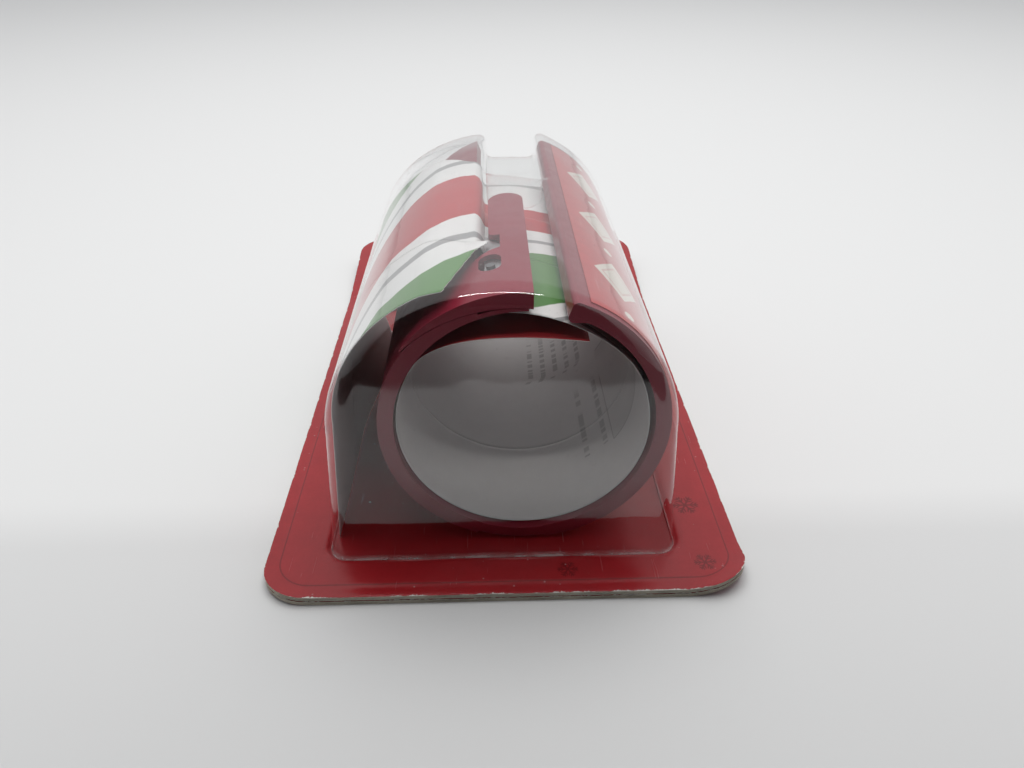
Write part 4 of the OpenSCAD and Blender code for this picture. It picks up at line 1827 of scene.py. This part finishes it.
@dataclass
class SampleSheet:
    """Sheet of gift wrap that runs over the arch, through the slot and round the bore."""

    near_y: float = 19.6
    far_y: float = 107.6
    cross_y: float = 47.0
    axis_x: float = 4.4
    axis_z: float = 32.9
    bore: float = 28.1
    tube: float = 31.5
    roll: float = 27.6
    off: float = 0.5
    arch_x: float = -0.4
    arch_half: float = 36.3
    arch_rise: float = 33.6
    shoulder_z: float = 33.5
    power: float = 2.0
    leave_a: float = 117.0
    drop_x: float = -4.25
    slot_level: float = 59.85
    dip_level: float = 56.45
    inner_z: float = 53.1
    cut_near_x: float = -12.1
    cut_far_x: float = -2.6
    join_a: float = 25.0
    back_a: float = -212.0
    thickness: float = 0.14
    stand_off: float = 0.75
    lean: float = 4.5
    bend_from_x: float = -17.0
    bend_to_x: float = -5.0
    roll_start: float = field(init=False, default=0.0)

    def tube_point(self, a: float, r: float) -> Point:
        """Point at a direction and distance from the tube's axis.

        Args:
            a: Direction in degrees from the X axis.
            r: Distance.

        Returns:
            X and Z.
        """
        t = math.radians(a)
        return (self.axis_x + r * math.cos(t), self.axis_z + r * math.sin(t))

    def arch_path(self) -> np.ndarray:
        """Path from the card up the bubble's wall and over its arch.

        Returns:
            Points of X and Z.
        """
        points = [(-38.8, 1.35), (-38.75, 2.5), (self.arch_x - self.arch_half, self.shoulder_z)]
        for k in range(40):
            t = math.radians(176.0 + (self.leave_a - 176.0) * k / 39)
            c, s = math.cos(t), math.sin(t)
            points.append(
                (
                    self.arch_x + self.arch_half * math.copysign(abs(c) ** (2 / self.power), c),
                    self.shoulder_z + self.arch_rise * abs(s) ** (2 / self.power),
                )
            )
        return np.array(points)

    def entry(self, start: Point, via: Point, reach: float) -> np.ndarray:
        """Path that lands on the bore from a point in the slot.

        Args:
            start: Where it starts.
            via: Point that it bends towards.
            reach: Length of its handle at the landing.

        Returns:
            Points of X and Z.
        """
        landing = np.array(self.tube_point(self.join_a, self.roll_radius(self.join_a)))
        t = math.radians(self.join_a)
        slope = np.array([math.sin(t), -math.cos(t)])
        return bezier(start, via, tuple(landing - reach * slope), tuple(landing), 24)

    def roll_radius(self, a: float) -> float:
        """Distance of the rolled sheet from the tube's axis, less where it springs off the bore.

        Args:
            a: Direction in degrees from the X axis.

        Returns:
            The distance.
        """
        return self.roll - self.stand_off * float(smooth_step(-35.0, 20.0, np.array(a)))

    def crossing_path(self, level: float, via: Point, reach: float) -> np.ndarray:
        """Path from the arch down beside the finger and across the slot.

        Args:
            level: Level of the sheet in the slot.
            via: Point that it bends towards on the way to the bore.
            reach: Length of its handle at the bore.

        Returns:
            Points of X and Z.
        """
        begin = self.arch_path()[-1]
        top = self.tube_point(111.4, self.tube + 1.3)
        over = bezier(
            tuple(begin), (begin[0] + 3.0, begin[1] + 1.1), (top[0] - 3.0, top[1] + 0.5), top, 12
        )
        steps = [
            self.tube_point(109.0, self.tube + 0.8),
            self.tube_point(107.4, self.tube - 0.25),
            (self.drop_x, 61.5),
            (self.drop_x, level + 1.6),
            (self.drop_x + 0.35, level + 0.5),
            (self.drop_x + 0.9, level),
        ]
        return np.concatenate([over, np.array(steps), self.entry(steps[-1], via, reach)[1:]])

    def roll_path(self) -> np.ndarray:
        """Path round the bore and back across the top as the inner layer.

        Returns:
            Points of X and Z.
        """
        ways = [self.join_a + (self.back_a - self.join_a) * k / 120 for k in range(121)]
        turn = [self.tube_point(a, self.roll_radius(a)) for a in ways]
        t = math.radians(self.back_a)
        slope = np.array([math.sin(t), -math.cos(t)])
        leave = np.array(turn[-1])
        back = bezier(
            tuple(leave),
            tuple(leave + 9.0 * slope),
            (self.axis_x - 2.4, self.inner_z + 1.9),
            (self.axis_x + 13.0, self.inner_z),
            24,
        )
        return np.concatenate([np.array(turn), back[1:]])

    def build(self, effects: Effects) -> None:
        """Makes the sheet.

        Args:
            effects: The shared groups.
        """
        arch = resample(self.arch_path(), 84)
        roll = resample(self.roll_path(), 150)
        high = resample(
            self.crossing_path(self.slot_level, (self.axis_x + 4.6, self.slot_level + 1.3), 10.0),
            64,
            6,
        )
        dip = resample(
            self.crossing_path(self.dip_level, (self.axis_x + 9.0, self.dip_level + 0.5), 12.0),
            64,
            6,
        )
        start = (-1.6, self.slot_level)
        lower = resample(self.entry(start, (self.axis_x + 4.6, self.slot_level + 1.3), 10.0), 50)
        begin = arch[-1]
        loose_to = (self.cut_far_x + 1.0, self.axis_z + 32.2 + self.off)
        loose = bezier(
            tuple(begin),
            (begin[0] + 3.4, begin[1] + 1.2),
            (loose_to[0] - 5.0, loose_to[1] - 0.2),
            loose_to,
            60,
        )
        blend_to = np.concatenate([high[: self.index_at(high, -7.0)], np.array([(-2.4, 63.9)])])
        blend_to = resample(blend_to, 61, 4)
        near_rows = np.linspace(self.near_y, self.cross_y, 29)
        far_rows = np.linspace(self.cross_y, self.far_y, 60)
        grids = []
        arch_s = self.lengths(arch)
        self.roll_start = arch_s[-1] + self.lengths(high)[-1]
        upper = []
        for y in near_rows:
            w = float(smooth_step(37.0, 47.0, np.array(y)))
            path = loose * (1 - w) + blend_to * w
            slant = (
                (self.cut_far_x - self.cut_near_x) * (y - self.near_y)
                / (self.cross_y - self.near_y)
            )
            edge = self.cut_near_x + slant
            edge += 0.12 * math.sin(3.1 * y) + 0.08 * math.sin(7.7 * y + 1.0)
            stop = np.interp(edge, path[:, 0], np.arange(len(path)))
            places = np.linspace(0.0, stop, 16)
            cut = np.stack(
                [np.interp(places, np.arange(len(path)), path[:, k]) for k in (0, 1)], -1
            )
            row = np.concatenate([arch, cut[1:]])
            upper.append(row)
        grids.append((near_rows, np.array(upper), 0.0))
        far = []
        for y in far_rows:
            w = float(smooth_step(73.0, 81.0, np.array(y)))
            leaning = arch.copy()
            reach = self.lean * float(smooth_step(60.0, 106.0, np.array(y)))
            leaning[:, 0] += reach * smooth_step(22.0, 2.0, arch[:, 1])
            far.append(np.concatenate([leaning, (high * (1 - w) + dip * w)[1:], roll[1:]]))
        grids.append((far_rows, np.array(far), 0.0))
        slot_length = arch_s[-1] + self.lengths(high)[-1] - self.lengths(lower)[-1]
        under = np.array([np.concatenate([lower, roll[1:]]) for _ in near_rows])
        grids.append((near_rows, under, slot_length))
        self.assemble(grids, effects)

    def index_at(self, path: np.ndarray, x: float) -> int:
        """Number of the first point of a path beyond some X."""
        return int(np.argmax(path[:, 0] > x))

    def lengths(self, path: np.ndarray) -> np.ndarray:
        """Distance of each point of a path from its start."""
        return np.concatenate([[0.0], np.cumsum(np.linalg.norm(np.diff(path, axis=0), axis=1))])

    def band_of(self, s: np.ndarray, y: np.ndarray) -> np.ndarray:
        """Place of a point in the print's sequence of bands.

        Args:
            s: Distance along the sheet from where it lands on the bore.
            y: Distance across the card.

        Returns:
            0 to 1 in the middle band, 1 to 2 in the white next to it, 2 to 3 in the green, and on.
        """
        knots = [-93.0, -63.0, -60.0, -57.0, -54.0, -51.0, -48.0, -45.0, -42.0]
        knots += [-34.7, -27.0, -20.0, 65.0, 92.0]
        middle = np.interp(
            s,
            knots,
            [27.0, 63.1, 65.8, 67.5, 69.5, 71.7, 75.1, 78.5, 80.5, 78.0, 76.3, 76.5, 60.0, 24.0],
        )
        red = np.interp(
            s,
            knots,
            [13.0, 13.2, 14.6, 15.5, 15.6, 15.5, 15.1, 15.0, 14.8, 13.0, 11.3, 9.5, 10.0, 17.0],
        )
        white = np.interp(
            s,
            knots,
            [25.0, 24.6, 25.1, 24.1, 24.4, 24.5, 25.4, 27.3, 27.0, 19.0, 13.9, 13.4, 18.0, 20.0],
        )
        far_white = np.interp(
            s,
            knots,
            [25.0, 25.5, 25.5, 25.5, 25.5, 25.5, 25.5, 25.5, 25.5, 34.0, 44.0, 44.0, 24.0, 20.0],
        )
        green = np.interp(s, knots, [26.0] * 9 + [27.0, 28.0, 24.2, 22.0, 24.0])
        d = np.abs(y - middle)
        white = np.where(y > middle, far_white, white)
        band = np.where(d < red, d / red, 0.0)
        band = np.where(d >= red, 1.0 + (d - red) / white, band)
        band = np.where(d >= red + white, 2.0 + (d - red - white) / green, band)
        band = np.where(d >= red + white + green, 3.0 + (d - red - white - green) / white, band)
        return np.where(
            d >= red + 2 * white + green, 4.0 + (d - red - 2 * white - green) / (2 * red), band
        )

    def assemble(
        self, grids: Sequence[tuple[np.ndarray, np.ndarray, float]], effects: Effects
    ) -> None:
        """Joins the grids of the sheet into one piece.

        Args:
            grids: Rows along the card, their paths, and the distance at which the paths start.
            effects: The shared groups.
        """
        points, faces, sheet, bands = [], [], [], []
        total = 0
        for rows, paths, offset in grids:
            n_rows, n_path = paths.shape[:2]
            for y, path in zip(rows, paths):
                points.append(np.stack([path[:, 0], np.full(n_path, y), path[:, 1]], -1))
                s = self.lengths(path) + offset - self.roll_start
                sheet.append(np.stack([s, np.full(n_path, y)], -1))
                bands.append(np.stack([self.band_of(s, np.full(n_path, y)), np.zeros(n_path)], -1))
            for r in range(n_rows - 1):
                for k in range(n_path - 1):
                    a = total + r * n_path + k
                    faces.append((a, a + 1, a + n_path + 1, a + n_path))
            total += n_rows * n_path
        materials = [
            StripedPrint().material(effects),
            PlainPaper().material(effects),
            PlainPaper("wrap_rim_finish", (0.75, 0.74, 0.73), printed=False).material(effects),
        ]
        piece = make_piece("sample_sheet", np.concatenate(points), faces, materials)
        paint_uv(piece, "sheet", np.concatenate(sheet))
        paint_uv(piece, "bands", np.concatenate(bands))
        solid = piece.modifiers.new("thickness", "SOLIDIFY")
        solid.thickness = self.thickness * MM
        solid.offset = 0.0
        solid.material_offset = 1
        solid.material_offset_rim = 2
        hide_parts("printed_insert")
        ends = [(self.bend_from_x, 0.0, 0.0), (self.bend_to_x, 0.0, 0.0)]
        start, end = to_metres(ends).tolist()
        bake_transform(piece)
        LOG.info("sheet: %d faces", len(faces))


def main() -> None:
    """Builds the scene in order and reports each piece."""
    logging.basicConfig(level=logging.INFO, format="%(name)s %(message)s")
    Studio().build()
    effects = Effects()
    Card().build(effects)
    Bubble().build(effects)
    Tool().build(effects)
    SampleSheet().build(effects)


if __name__ == "__main__":
    main()
